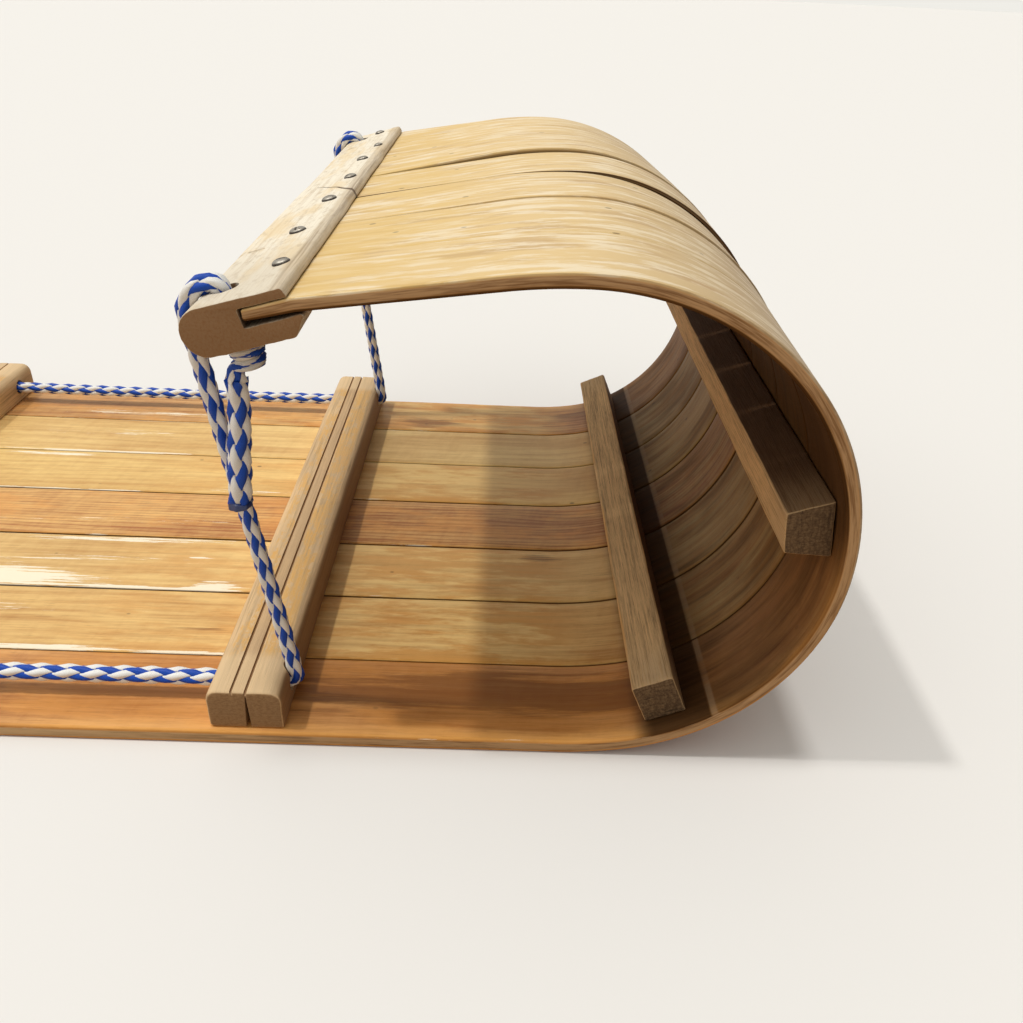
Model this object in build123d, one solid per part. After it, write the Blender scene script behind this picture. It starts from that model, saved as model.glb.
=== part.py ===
from build123d import *
import os
from math import acos, atan2, cos, degrees, hypot, radians, sin, tan

# Wooden toboggan: seven bent slats on five crossbars, with the front rolled over
# into a curl that a slotted nose bar grips and two side ropes hold back.
# Millimetres. +X points to the front, +Y to the left side and +Z up. The deck's
# underside lies at Z = 0 and the origin is the middle of the length and width.

# Deck
deck_width = 406.0
slat_count = 7
slat_gap = 1.2
slat_thickness = 7.9

# The slats are planed thinner as they run over the curl
front_thickness = 7.0
top_thickness = 6.2
mouth_thickness = 5.5
tip_thickness = 4.4

# Curl: two quarter turns that meet at its foremost point
curl_front_height = 115.4
curl_run = 128.4
front_turn = 80.0
curl_height = 247.2
top_setback = 129.2
shoulder_turn = 30.0
back_radius = 230.0

# Crossbars with the rope holes
crossbar_count = 5
crossbar_spacing = 308.0
front_bar_setback = 283.0
tail_margin = 45.0
bar_width = 38.0
bar_height = 24.0
bar_inset = 3.0
bar_top_round = 6.0
bar_foot_round = 1.5
kerf_width = 1.6
kerf_depth = 2.4
kerf_pitch = 7.2
kerf_shift = -2.2

# Plain bar where the curl starts, and the bar inside its front
start_bar_width = 22.0
start_bar_height = 24.0
start_bar_inset = 9.0
start_bar_turn = 66.0
curl_bar_width = 30.0
curl_bar_face = 21.5
curl_bar_height = 22.0
curl_bar_inset = 11.5
curl_bar_turn = 8.0
plain_bar_round = 1.2
bar_seat = 0.15

# Nose bar, drawn in its own axes: u runs forward from the centre of its round
# back edge, and v square to its flat top
nose_thickness = 20.0
nose_tilt = 16.0
nose_reach = 145.1
nose_drop = 28.9
slot_height = 7.2
slot_lip_height = 6.7
slot_depth = 20.5
slot_floor_u = 15.6
upper_jaw = 4.4
upper_jaw_chamfer = 1.5
lower_jaw_overhang = 4.6
lower_jaw_bevel = 7.3
slat_seat = 0.3
tip_gap = 0.6

# Side ropes
rope_diameter = 9.5
bar_hole_clearance = 2.0
nose_hole_clearance = 1.5
groove_clearance = 1.0
nose_groove_depth = 1.2
rope_inset = 24.0
nose_hole_inset = 21.0
nose_hole_u = 6.6
exit_reach = 3.0
exit_radius = 6.0
elbow_radius = 6.4
tail_knot_radius = 11.5
tail_knot_length = 19.0
nose_knot_radius = 10.5
nose_knot_length = 15.0
nose_knot_forward = 7.3
knot_chamfer = 4.0
knot_sink = 4.0
knot_gap = 0.3

# Slats from the right side to the left: the middle ones have warped and stand prouder
# over the curl. Columns: rise_at_top, fuller_shoulder
SLATS = (
    (0.9, 1.0),
    (2.4, 3.0),
    (4.0, 4.0),
    (4.5, 7.5),
    (5.8, 2.5),
    (4.0, 0.0),
    (2.0, -3.5),
)

# Free end of a side rope below the nose bar, from the middle of the knot's foot.
# Columns: back, outward, down
ROPE_TAIL = (
    (3.0, 3.5, 0.0),
    (3.0, 3.5, 14.0),
    (4.8, 7.0, 33.0),
    (6.6, 8.3, 56.9),
)

# Places worked out from the sizes
overall_length = front_bar_setback + crossbar_spacing * (crossbar_count - 1) + tail_margin
front_x = overall_length / 2
tail_x = -overall_length / 2
half_width = deck_width / 2
slat_width = (deck_width - slat_gap * (slat_count - 1)) / slat_count
nose_x = front_x - top_setback - nose_reach
nose_z = curl_height - nose_drop
nose_round = nose_thickness / 2
slot_top = nose_round - upper_jaw
slot_bottom = slot_top - slot_height
slot_lip = slot_top - slot_lip_height
mouth_u = slot_floor_u + slot_depth
crossbar_xs = [front_x - front_bar_setback - crossbar_spacing * i for i in range(crossbar_count)]
bar_top = slat_thickness + bar_height
rope_radius = rope_diameter / 2
over_round = nose_round + rope_radius - nose_groove_depth
rope_z = slat_thickness + bar_height / 2
bar_rope_y = half_width - bar_inset - rope_inset
nose_rope_y = half_width - nose_hole_inset
exit_x = crossbar_xs[0] + bar_width / 2 + exit_reach


def upright(edges):
    """A face in the XZ plane from edges drawn as (length, height)."""
    return Plane.XZ * make_face(edges)


def across(face, right, left):
    """An upright face made solid from one side of the sled to the other."""
    return Pos(0, left, 0) * extrude(face, amount=left - right)


def nose_point(u, v):
    """A point of the nose bar's own axes as (X, Z)."""
    tilt = radians(nose_tilt)
    return (nose_x + u * cos(tilt) - v * sin(tilt), nose_z + u * sin(tilt) + v * cos(tilt))


def bend_radii(rise, run, turn):
    """Radii of the two tangent arcs of a quarter turn: the first takes `turn` degrees."""
    s, c = sin(radians(turn)), cos(radians(turn))
    share = s * c - (1 - s) * (1 - c)
    return ((rise * c - run * (1 - s)) / share, (run * s - rise * (1 - c)) / share)


def slat_side(deck, front, top, mouth, tip, rise, fuller):
    """One side of a slat from the tail to its tip, sunk by the five depths given."""
    low_front, low_back = bend_radii(curl_front_height - deck, curl_run - front, front_turn)
    crown = curl_height + rise
    setback = top_setback - fuller
    up_front, up_back = bend_radii(crown - top - curl_front_height, setback - front, shoulder_turn)
    back = back_radius - top
    mouth_xz = nose_point(mouth_u + slat_seat, slot_top - slat_seat - mouth)
    tip_xz = nose_point(slot_floor_u + tip_gap, slot_top - slat_seat - tip)
    aside = front_x - setback - mouth_xz[0]
    above = mouth_xz[1] - (crown - back_radius)
    back_turn = degrees(atan2(aside, above) - acos(back / hypot(aside, above)))
    edges = [Line((tail_x, deck), (front_x - curl_run, deck))]
    arcs = (
        (low_back, 90 - front_turn),
        (low_front, front_turn),
        (up_front, shoulder_turn),
        (up_back, 90 - shoulder_turn),
        (back, back_turn),
    )
    for radius, turn in arcs:
        edges.append(JernArc(edges[-1] @ 1, edges[-1] % 1, radius, turn))
    edges.append(Line(edges[-1] @ 1, mouth_xz))
    edges.append(Line(mouth_xz, tip_xz))
    return edges


def slat(number):
    """A bent slat, counted from the right side."""
    rise, fuller = SLATS[number]
    outer = slat_side(0, 0, 0, 0, 0, rise, fuller)
    inner = slat_side(
        slat_thickness, front_thickness, top_thickness, mouth_thickness, tip_thickness, rise, fuller
    )
    ends = [Line(outer[0] @ 0, inner[0] @ 0), Line(outer[-1] @ 1, inner[-1] @ 1)]
    right = -half_width + number * (slat_width + slat_gap)
    return across(upright(outer + inner + ends), right, right + slat_width)


def seat_on_curl(turn, upward, width):
    """Place and slope of a bar that bridges the inside of the curl, `turn` degrees
    above or below its foremost point, as a location whose Z points into the hollow."""
    rise = curl_height - top_thickness - curl_front_height
    radius = bend_radii(rise, top_setback - front_thickness, shoulder_turn)[0]
    if not upward:
        rise = curl_front_height - slat_thickness
        radius = bend_radii(rise, curl_run - front_thickness, front_turn)[0]
    side = 1 if upward else -1
    inward = (radius - (radius**2 - width**2 / 4) ** 0.5) + bar_seat
    reach = radius - inward
    x = front_x - front_thickness - radius + reach * cos(radians(turn))
    z = curl_front_height + side * reach * sin(radians(turn))
    return Pos(x, 0, z) * Rot(0, -90 - side * turn, 0)


def crossbar(x):
    """A crossbar with two saw kerfs along its top and a rope hole near each end."""
    section = Pos(x, slat_thickness + bar_height / 2) * Rectangle(bar_width, bar_height)
    section = fillet(section.vertices().group_by(Axis.Y)[-1], bar_top_round)
    section = fillet(section.vertices().group_by(Axis.Y)[0], bar_foot_round)
    for side in (-0.5, 0.5):
        kerf_x = x + kerf_shift + side * kerf_pitch
        section -= Pos(kerf_x, bar_top) * Rectangle(kerf_width, 2 * kerf_depth)
    bar = across(Plane.XZ * section, bar_inset - half_width, half_width - bar_inset)
    hole = Rot(0, 90, 0) * Cylinder(rope_radius + bar_hole_clearance / 2, 2 * bar_width)
    for side in (-1, 1):
        bar -= Pos(x, side * bar_rope_y, rope_z) * hole
    return bar


def plain_bar(place, width, face, height, length):
    """A bar laid across the curl: `width` is its seat and `face` its inner side."""
    outline = Polyline(
        (-width / 2, 0), (width / 2, 0), (face / 2, height), (-face / 2, height), close=True
    )
    section = fillet(make_face(outline).vertices(), plain_bar_round)
    return place * Pos(0, length / 2, 0) * extrude(Plane.XZ * section, amount=length)


def rope_route(side):
    """Corners of a side rope, from behind the last crossbar, through the crossbars, up
    to the nose bar, over its round edge and down its hole, and the radius at each."""
    tilt = radians(nose_tilt)
    lean = atan2(nose_x - exit_x, nose_z - rope_z)
    rise = hypot(nose_x - exit_x, nose_z - rope_z)
    lean -= atan2(over_round, (rise**2 - over_round**2) ** 0.5)
    wrap = radians(90) - lean - tilt
    corner_u = -over_round * tan(wrap / 2)
    low = (exit_x, side * bar_rope_y, rope_z)
    over_x, over_z = nose_point(corner_u, over_round)
    hole_x, hole_z = nose_point(nose_hole_u, over_round)
    foot_z = nose_z - nose_round - knot_gap - knot_sink
    foot_x = hole_x + (hole_z - foot_z) * tan(tilt)
    nose_y = side * nose_rope_y
    start = (crossbar_xs[-1] - bar_width / 2 - knot_gap, side * bar_rope_y, rope_z)
    points = (start, low, (over_x, nose_y, over_z), (hole_x, nose_y, hole_z), (foot_x, nose_y, foot_z))
    return points, (exit_radius, over_round, elbow_radius)


def cord(points, radii, radius):
    """A round cord along straight runs joined by tangent arcs."""
    path = FilletPolyline(*points, radius=list(radii))
    return sweep(Plane(origin=path @ 0, z_dir=path % 0) * Circle(radius), path=path)


def rope_groove(side):
    """What a side rope has worn away, from the first crossbar to under the nose bar."""
    points, radii = rope_route(side)
    inside_bar = (crossbar_xs[0], side * bar_rope_y, rope_z)
    return cord([inside_bar, *points[1:]], radii, rope_radius + groove_clearance / 2)


def knot(radius, length):
    """The bulk of a knot, its axis along Z and its foot at the origin."""
    body = Pos(0, 0, length / 2) * Cylinder(radius, length)
    return chamfer(body.edges().filter_by(GeomType.CIRCLE), knot_chamfer)


def nose_knot_place(side):
    """The top of the knot under the nose bar, with Z pointing down."""
    top_z = nose_z - nose_round - knot_gap
    return Pos(nose_x + nose_knot_forward, side * nose_rope_y, top_z) * Rot(180, 0, 0)


def side_rope(side):
    """A side rope from its knot behind the last crossbar to its knot under the nose bar."""
    points, radii = rope_route(side)
    rope = cord(points, radii, rope_radius)
    rope += Pos(*points[0]) * Rot(0, -90, 0) * knot(tail_knot_radius, tail_knot_length)
    rope += nose_knot_place(side) * knot(nose_knot_radius, nose_knot_length)
    return rope


def rope_tail(side):
    """The free end that hangs from the knot under the nose bar."""
    foot = nose_knot_place(side) * Pos(0, 0, nose_knot_length)
    x, y, z = foot.position
    points = [(x - back, y + side * outward, z - down) for back, outward, down in ROPE_TAIL]
    radii = []
    for before, corner, after in zip(points, points[1:], points[2:]):
        run_in = Vector(*corner) - Vector(*before)
        run_out = Vector(*after) - Vector(*corner)
        half_turn = radians(run_in.get_angle(run_out) / 2)
        radii.append(0.45 * min(run_in.length, run_out.length) / tan(half_turn))
    print("rope tail radii", [round(radius) for radius in radii])
    return cord(points, radii, rope_radius)


def nose_bar():
    """The slotted bar that grips the slats' ends, with its rope holes and grooves."""
    back_low = nose_point(0, -nose_round)
    back_mid = nose_point(-nose_round, 0)
    back_high = nose_point(0, nose_round)
    lip_u = mouth_u + lower_jaw_overhang
    corners = [
        back_high,
        nose_point(mouth_u - upper_jaw_chamfer, nose_round),
        nose_point(mouth_u, slot_top),
        nose_point(slot_floor_u, slot_top),
        nose_point(slot_floor_u, slot_bottom),
        nose_point(lip_u, slot_lip),
        nose_point(lip_u - lower_jaw_bevel, -nose_round),
        back_low,
    ]
    profile = upright([ThreePointArc(back_low, back_mid, back_high), Polyline(*corners)])
    bar = across(profile, -half_width, half_width)
    hole_x, hole_z = nose_point(nose_hole_u, 0)
    hole = Cylinder(rope_radius + nose_hole_clearance / 2, 2 * nose_thickness)
    for side in (-1, 1):
        bar -= rope_groove(side)
        bar -= Pos(hole_x, side * nose_rope_y, hole_z) * Rot(0, -nose_tilt, 0) * hole
    return bar


def make_parts():
    """Every piece under its own name."""
    parts = {f"slat_{number + 1}": slat(number) for number in range(slat_count)}
    for number, x in enumerate(crossbar_xs):
        parts[f"crossbar_{number + 1}"] = crossbar(x)
    for side in (-1, 1):
        parts["crossbar_1"] -= rope_groove(side)
    start_place = seat_on_curl(start_bar_turn, False, start_bar_width)
    start_length = deck_width - 2 * start_bar_inset
    parts["curl_start_bar"] = plain_bar(
        start_place, start_bar_width, start_bar_width, start_bar_height, start_length
    )
    curl_place = seat_on_curl(curl_bar_turn, True, curl_bar_width)
    curl_length = deck_width - 2 * curl_bar_inset
    parts["curl_bar"] = plain_bar(
        curl_place, curl_bar_width, curl_bar_face, curl_bar_height, curl_length
    )
    parts["nose_bar"] = nose_bar()
    for name, side in (("right", -1), ("left", 1)):
        parts[f"side_rope_{name}"] = side_rope(side)
        parts[f"rope_tail_{name}"] = rope_tail(side)
    return parts


os.makedirs("parts", exist_ok=True)
for name, piece in make_parts().items():
    piece.label = name
    export_step(piece, f"parts/{name}.step")
    box = piece.bounding_box()
    low = [round(v, 1) for v in box.min]
    high = [round(v, 1) for v in box.max]
    print(name, len(piece.solids()), round(piece.volume), low, high)
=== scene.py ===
import math

import bmesh
import bpy
import numpy as np
from bpy.props import FloatProperty, FloatVectorProperty, IntProperty, PointerProperty
from bpy.types import Operator, Panel, PropertyGroup
from mathutils import Matrix, Vector, noise


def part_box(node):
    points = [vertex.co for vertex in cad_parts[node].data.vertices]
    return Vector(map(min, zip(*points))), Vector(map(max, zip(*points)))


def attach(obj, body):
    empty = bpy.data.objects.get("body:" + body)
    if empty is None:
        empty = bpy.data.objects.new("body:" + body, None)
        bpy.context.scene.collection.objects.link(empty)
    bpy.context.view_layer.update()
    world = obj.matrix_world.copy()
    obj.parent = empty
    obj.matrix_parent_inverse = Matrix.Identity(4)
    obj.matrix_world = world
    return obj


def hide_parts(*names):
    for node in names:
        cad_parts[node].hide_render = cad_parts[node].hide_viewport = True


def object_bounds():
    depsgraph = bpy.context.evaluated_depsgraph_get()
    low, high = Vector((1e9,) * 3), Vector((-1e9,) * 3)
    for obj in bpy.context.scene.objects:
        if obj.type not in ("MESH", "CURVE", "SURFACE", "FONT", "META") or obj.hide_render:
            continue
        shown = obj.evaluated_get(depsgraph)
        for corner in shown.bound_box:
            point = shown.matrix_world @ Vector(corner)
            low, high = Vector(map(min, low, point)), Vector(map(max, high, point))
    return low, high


bl_info = {
    "name": "Wooden toboggan",
    "version": (1, 0, 0),
    "blender": (4, 5, 0),
    "location": "3D View > Sidebar > Toboggan",
    "description": "Builds the worn slats, bars, screws and braided ropes of a toboggan",
    "category": "Object",
}

# Metres. +X points to the front, +Y to the left side and +Z up
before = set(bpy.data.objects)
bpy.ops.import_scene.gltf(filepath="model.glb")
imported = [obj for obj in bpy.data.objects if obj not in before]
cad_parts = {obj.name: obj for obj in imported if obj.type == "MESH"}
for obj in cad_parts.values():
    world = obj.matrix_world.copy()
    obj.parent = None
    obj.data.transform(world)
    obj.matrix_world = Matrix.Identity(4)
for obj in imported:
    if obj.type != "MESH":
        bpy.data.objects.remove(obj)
CAD_LOW, CAD_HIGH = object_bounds()
BODY = "root"
SIDES = {"right": -1, "left": 1}
SLAT_COUNT = 7
CROSSBAR_COUNT = 5


# Properties


def distance(name, description, default):
    """A length in metres."""
    return FloatProperty(
        name=name, description=description, default=default, unit="LENGTH", subtype="DISTANCE"
    )


def turn(name, description, degrees):
    """An angle whose default is given in degrees."""
    return FloatProperty(
        name=name, description=description, default=math.radians(degrees), unit="ROTATION"
    )


def share(name, description, default):
    """A plain factor."""
    return FloatProperty(name=name, description=description, default=default, subtype="FACTOR")


def linear(red, green, blue):
    """A colour given as it shows, from 0 to 255, in linear light."""
    shown = (red / 255, green / 255, blue / 255)
    return tuple(c / 12.92 if c <= 0.04045 else ((c + 0.055) / 1.055) ** 2.4 for c in shown)


def colour(name, description, red, green, blue):
    """A colour whose default is given as it shows."""
    return FloatVectorProperty(
        name=name, description=description, default=linear(red, green, blue), subtype="COLOR"
    )


class SlatSizes(PropertyGroup):
    """Sizes of the bent slats."""

    thickness: distance("Thickness", "Thickness on the deck", 0.0079)
    front_thickness: distance("Front thickness", "Thickness at the foremost point", 0.0070)
    top_thickness: distance("Top thickness", "Thickness at the top of the curl", 0.0062)
    mouth_thickness: distance("Mouth thickness", "Thickness where the nose bar starts", 0.0055)
    tip_thickness: distance("Tip thickness", "Thickness at the tip", 0.0044)
    curl_front_height: distance("Curl front height", "Height of the foremost point", 0.1154)
    curl_run: distance("Curl run", "From the end of the flat deck to the front", 0.1284)
    front_turn: turn("Front turn", "Turn of the arc below the foremost point", 80)
    curl_height: distance("Curl height", "Height of an unwarped slat's top", 0.2472)
    top_setback: distance("Top setback", "From the front back to the top", 0.1292)
    shoulder_turn: turn("Shoulder turn", "Turn of the arc above the foremost point", 30)
    back_radius: distance("Back radius", "Radius behind the top", 0.230)
    edge_wear: distance("Edge wear", "Rounding of the long edges", 0.0011)


class BarSizes(PropertyGroup):
    """Sizes of the crossbars and of the two plain bars in the curl."""

    top_round: distance("Top rounding", "Rounding of a crossbar's top edges", 0.0060)
    foot_round: distance("Foot rounding", "Rounding of a crossbar's bottom edges", 0.0015)
    kerf_width: distance("Kerf width", "Width of the saw kerfs", 0.0010)
    kerf_depth: distance("Kerf depth", "Depth of the saw kerfs", 0.0014)
    kerf_pitch: distance("Kerf pitch", "Between the two kerfs", 0.0072)
    kerf_shift: distance("Kerf shift", "Kerfs off the bar's middle", -0.0022)
    hole_radius: distance("Hole radius", "Radius of the rope holes", 0.00575)
    start_width: distance("Start bar width", "Width of the bar where the curl starts", 0.022)
    start_height: distance("Start bar height", "Height of that bar", 0.024)
    start_turn: turn("Start bar turn", "Below the foremost point", 66)
    curl_width: distance("Curl bar width", "Seat of the bar inside the front", 0.030)
    curl_face: distance("Curl bar face", "Inner side of that bar", 0.0215)
    curl_height: distance("Curl bar height", "Height of that bar", 0.022)
    curl_turn: turn("Curl bar turn", "Above the foremost point", 8)
    seat: distance("Seat", "Gap between a plain bar and the slats", 0.00015)


class NoseSizes(PropertyGroup):
    """Sizes of the nose bar, in its own axes: u forward, v square to its flat top."""

    round_radius: distance("Round", "Radius of the round back edge", 0.010)
    tilt: turn("Tilt", "Slope of the flat top", 16)
    slot_floor: distance("Slot floor", "From the round's middle to the slot's floor", 0.0156)
    slot_depth: distance("Slot depth", "Depth of the slot that holds the slats", 0.0205)
    slot_height: distance("Slot height", "Height of the slot at its floor", 0.0072)
    lip_height: distance("Lip height", "Height of the slot at its lip", 0.0067)
    upper_jaw: distance("Upper jaw", "Thickness above the slot", 0.0044)
    chamfer: distance("Chamfer", "Front edge of the upper jaw", 0.0015)
    overhang: distance("Overhang", "How far the lower jaw stands out", 0.0046)
    bevel: distance("Bevel", "Slope under the lower jaw", 0.0073)
    slat_seat: distance("Slat seat", "Gap above the slats in the slot", 0.0003)
    tip_gap: distance("Tip gap", "Gap past the slats' tips", 0.0006)
    hole_u: distance("Hole place", "Where the rope enters the flat top", 0.0066)
    hole_radius: distance("Hole radius", "Radius of the rope holes", 0.0055)
    groove: distance("Groove", "How deep the ropes have worn into the round", 0.0012)
    step: distance("Step", "Between two sections of the worn bar", 0.0016)


class RopeSizes(PropertyGroup):
    """Sizes of the braided ropes."""

    diameter: distance("Diameter", "Thickness of the rope", 0.0095)
    patch_pitch: distance("Patch pitch", "Between two like patches in a row", 0.0142)
    strand_thickness: distance("Strand thickness", "Thickness of a flat strand", 0.0020)
    weave: distance("Weave", "How far a strand goes up and down", 0.0008)
    white_proud: distance("White proud", "How far white strands stand over blue ones", 0.0001)
    step: distance("Step", "Between two rings of a strand", 0.00178)
    strand_sides: IntProperty(name="Strand sides", description="Points round a strand", default=8)
    hole_y: distance("Rope place", "Ropes in the crossbars, off the middle", 0.176)
    height: distance("Rope height", "Middle of the ropes over the deck's underside", 0.0199)
    nose_y: distance("Rope place at the nose", "Ropes in the nose bar, off the middle", 0.182)
    exit_reach: distance("Exit reach", "Where a rope turns up in front of the first crossbar", 0.0030)
    worn_radius: distance("Worn radius", "Radius of the grooves the ropes have worn", 0.0050)
    taut_girth: share("Taut girth", "Thickness where the rope is pulled tight", 0.90)
    knot_girth: share("Knot girth", "Thickness in a knot", 0.62)
    free_girth: share("Free girth", "Thickness of the loose end", 1.08)


class Finishes(PropertyGroup):
    """Colours of the wood, rope and metal."""

    bare: colour("Bare wood", "Wood whose varnish has gone", 250, 240, 216)
    grime: colour("Grime", "Dirt in seams and grain", 50, 34, 22)
    stain: colour("Stain", "Old dark varnish", 110, 60, 16)
    amber: colour("Amber varnish", "Thick varnish left on the bars", 216, 162, 72)
    bar_wood: colour("Bar wood", "Worn wood of the crossbars", 222, 188, 142)
    plain_wood: colour("Plain bar wood", "Grey brown wood in the curl", 220, 180, 128)
    nose_wood: colour("Nose wood", "Bleached wood of the nose bar", 234, 226, 208)
    nose_end: colour("Nose end", "Smooth ends of the nose bar", 148, 116, 82)
    end_grain: colour("End grain", "Cut ends of the crossbars", 156, 124, 86)
    blue: colour("Blue strands", "Blue filament", 8, 84, 202)
    white: colour("White strands", "White filament", 250, 251, 250)
    steel: colour("Steel", "Screw heads", 156, 151, 142)


class StageSizes(PropertyGroup):
    """Camera, lamps and floor."""

    eye: FloatVectorProperty(
        name="Eye",
        description="Place of the camera",
        default=(0.61745, -0.52208, 0.33938),
        subtype="TRANSLATION",
        unit="LENGTH",
    )
    yaw: turn("Yaw", "Camera turned towards the front", 1.4553)
    pitch: turn("Pitch", "Camera turned down", 31.4554)
    roll: turn("Roll", "Camera leaning", -2.8132)
    lens: FloatProperty(
        name="Lens", description="Focal length", default=30.85, unit="CAMERA", subtype="DISTANCE_CAMERA"
    )
    sensor: FloatProperty(
        name="Sensor", description="Sensor width", default=36.0, unit="CAMERA", subtype="DISTANCE_CAMERA"
    )
    floor_size: distance("Floor size", "Side of the square floor", 60.0)
    ceiling: FloatProperty(name="Ceiling", description="Strength of the lamp above", default=0.96)
    side: FloatProperty(name="Side", description="Strength of the lamp behind", default=0.98)
    sky: share("Sky", "Light from all round", 0.47)
    sky_above: share("Sky above", "How much brighter the light is above", 0.18)
    sky_behind: share("Sky behind", "How much brighter the light is behind the sled", 0.38)
    floor_shown: colour("Floor", "Floor as the camera sees it", 230, 229, 227)
    horizon: colour("Horizon", "Backdrop beyond the floor", 240, 238, 231)
    floor_bounce: colour("Floor bounce", "Floor as it lights the wood", 176, 146, 112)


# Nodes


class NodeMaker:
    """Adds nodes to a tree. An input is a value or the output of another node."""

    def __init__(self, tree):
        tree.nodes.clear()
        self.tree = tree

    def add(self, kind, inputs=None, **settings):
        node = self.tree.nodes.new(kind)
        for name, value in settings.items():
            setattr(node, name, value)
        for name, value in (inputs or {}).items():
            if isinstance(value, bpy.types.NodeSocket):
                self.tree.links.new(value, node.inputs[name])
            else:
                node.inputs[name].default_value = value
        return node

    def out(self, kind, inputs=None, **settings):
        """The first output of a new node."""
        return self.add(kind, inputs, **settings).outputs[0]

    def math(self, operation, first, second=0.0, third=0.0):
        return self.out("ShaderNodeMath", {0: first, 1: second, 2: third}, operation=operation)

    def times(self, *values):
        """All the values multiplied."""
        product = values[0]
        for value in values[1:]:
            product = self.math("MULTIPLY", product, value)
        return product

    def times_plus(self, value, factor, more):
        return self.math("MULTIPLY_ADD", value, factor, more)

    def vector(self, operation, first, second=(0.0, 0.0, 0.0), output=0):
        kind = "ShaderNodeVectorMath"
        return self.add(kind, {0: first, 1: second}, operation=operation).outputs[output]

    def scaled(self, vector, factor):
        return self.out("ShaderNodeVectorMath", {0: vector, "Scale": factor}, operation="SCALE")

    def keep(self, geometry, fields):
        """Geometry that remembers the values of some fields, and those values."""
        node = self.add("GeometryNodeCaptureAttribute", {"Geometry": geometry}, domain="POINT")
        for number, (kind, value) in enumerate(fields):
            node.capture_items.new(kind, f"Field {number}")
            self.tree.links.new(value, node.inputs[number + 1])
        return [node.outputs[number] for number in range(len(fields) + 1)]

    def named(self, name, kind):
        """An attribute's values, for Geometry Nodes."""
        return self.out("GeometryNodeInputNamedAttribute", {"Name": name}, data_type=kind)

    def attribute(self, name):
        """An attribute's values, for a material."""
        return self.add("ShaderNodeAttribute", attribute_name=name).outputs["Vector"]

    def place(self):
        """Where a point of the sled lies."""
        return self.add("ShaderNodeTexCoord").outputs["Object"]

    def parts(self, vector):
        return self.add("ShaderNodeSeparateXYZ", {0: vector}).outputs

    def noise(self, vector, scale, detail=2.0, roughness=0.5, distortion=0.0):
        """Noise whose cells are 1 / scale metres long on each axis."""
        inputs = {
            "Vector": self.vector("MULTIPLY", vector, scale),
            "Scale": 1.0,
            "Detail": detail,
            "Roughness": roughness,
            "Distortion": distortion,
        }
        return self.add("ShaderNodeTexNoise", inputs).outputs["Fac"]

    def between(self, value, low, high, start=0.0, end=1.0):
        """Rises smoothly from start to end as the value goes from low to high."""
        inputs = {"Value": value, "From Min": low, "From Max": high, "To Min": start, "To Max": end}
        kind = "ShaderNodeMapRange"
        return self.add(kind, inputs, interpolation_type="SMOOTHSTEP").outputs["Result"]

    def layered(self, *layers):
        """The sum of some patterns, each given as pattern, low, high and share."""
        total = 0.0
        for pattern, low, high, part in layers:
            total = self.times_plus(self.between(pattern, low, high), part, total)
        return total

    def mix(self, factor, first, second, blend="MIX"):
        """One colour mixed into another."""
        settings = {"data_type": "RGBA", "blend_type": blend, "clamp_factor": True}
        node = self.add("ShaderNodeMix", {0: factor}, **settings)
        for name, value in ((6, first), (7, second)):
            if isinstance(value, bpy.types.NodeSocket):
                self.tree.links.new(value, node.inputs[name])
            else:
                node.inputs[name].default_value = (*value[:3], 1.0)
        return node.outputs[2]

    def coat(self, under, over, *cover):
        """A colour laid over another as thickly as its cover's values give, multiplied."""
        return self.mix(self.times(*cover), under, over)

    def bump(self, height, distance, strength):
        inputs = {"Height": height, "Distance": distance, "Strength": strength}
        return self.add("ShaderNodeBump", inputs).outputs["Normal"]


def new_material(name):
    """An empty material and the maker of its nodes."""
    material = bpy.data.materials.new(name)
    material.use_nodes = True
    return material, NodeMaker(material.node_tree)


def surface(nodes, **inputs):
    """The shader and the material's output."""
    names = {"color": "Base Color", "roughness": "Roughness", "normal": "Normal"}
    names.update({"metallic": "Metallic", "specular": "Specular IOR Level"})
    shader = nodes.add("ShaderNodeBsdfPrincipled", {names[k]: v for k, v in inputs.items()})
    nodes.add("ShaderNodeOutputMaterial", {"Surface": shader.outputs[0]})


# Mesh helpers


def new_piece(name, mesh, nodes=()):
    """A finished mesh as a piece of the sled that stands for its CAD nodes."""
    piece = loose_object(name, mesh)
    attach(piece, BODY)
    if nodes:
        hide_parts(*nodes)
    return piece


def ring_mesh(name, rings, sharp=40):
    """A closed mesh through rings of as many points each, with a face on both ends."""
    count, points = rings.shape[:2]
    faces = []
    for low in range(0, (count - 1) * points, points):
        high = low + points
        for k in range(points):
            n = (k + 1) % points
            faces.append((low + k, low + n, high + n, high + k))
    faces.append(tuple(range(points))[::-1])
    faces.append(tuple((count - 1) * points + k for k in range(points)))
    mesh = bpy.data.meshes.new(name)
    mesh.from_pydata(rings.reshape(-1, 3).tolist(), [], faces)
    mesh.update()
    face_out(mesh)
    smooth(mesh, sharp)
    return mesh


def face_out(mesh):
    """Turns the faces of a closed mesh outwards."""
    work = bmesh.new()
    work.from_mesh(mesh)
    bmesh.ops.recalc_face_normals(work, faces=work.faces)
    work.to_mesh(mesh)
    work.free()


def smooth(mesh, sharp):
    """Smooth shading that keeps the edges over an angle in degrees sharp."""
    mesh.shade_smooth()
    mesh.set_sharp_from_angle(angle=math.radians(sharp))


def coordinates(mesh):
    """Where the points of a mesh lie."""
    points = np.empty(len(mesh.vertices) * 3)
    mesh.vertices.foreach_get("co", points)
    return points.reshape(-1, 3)


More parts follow.
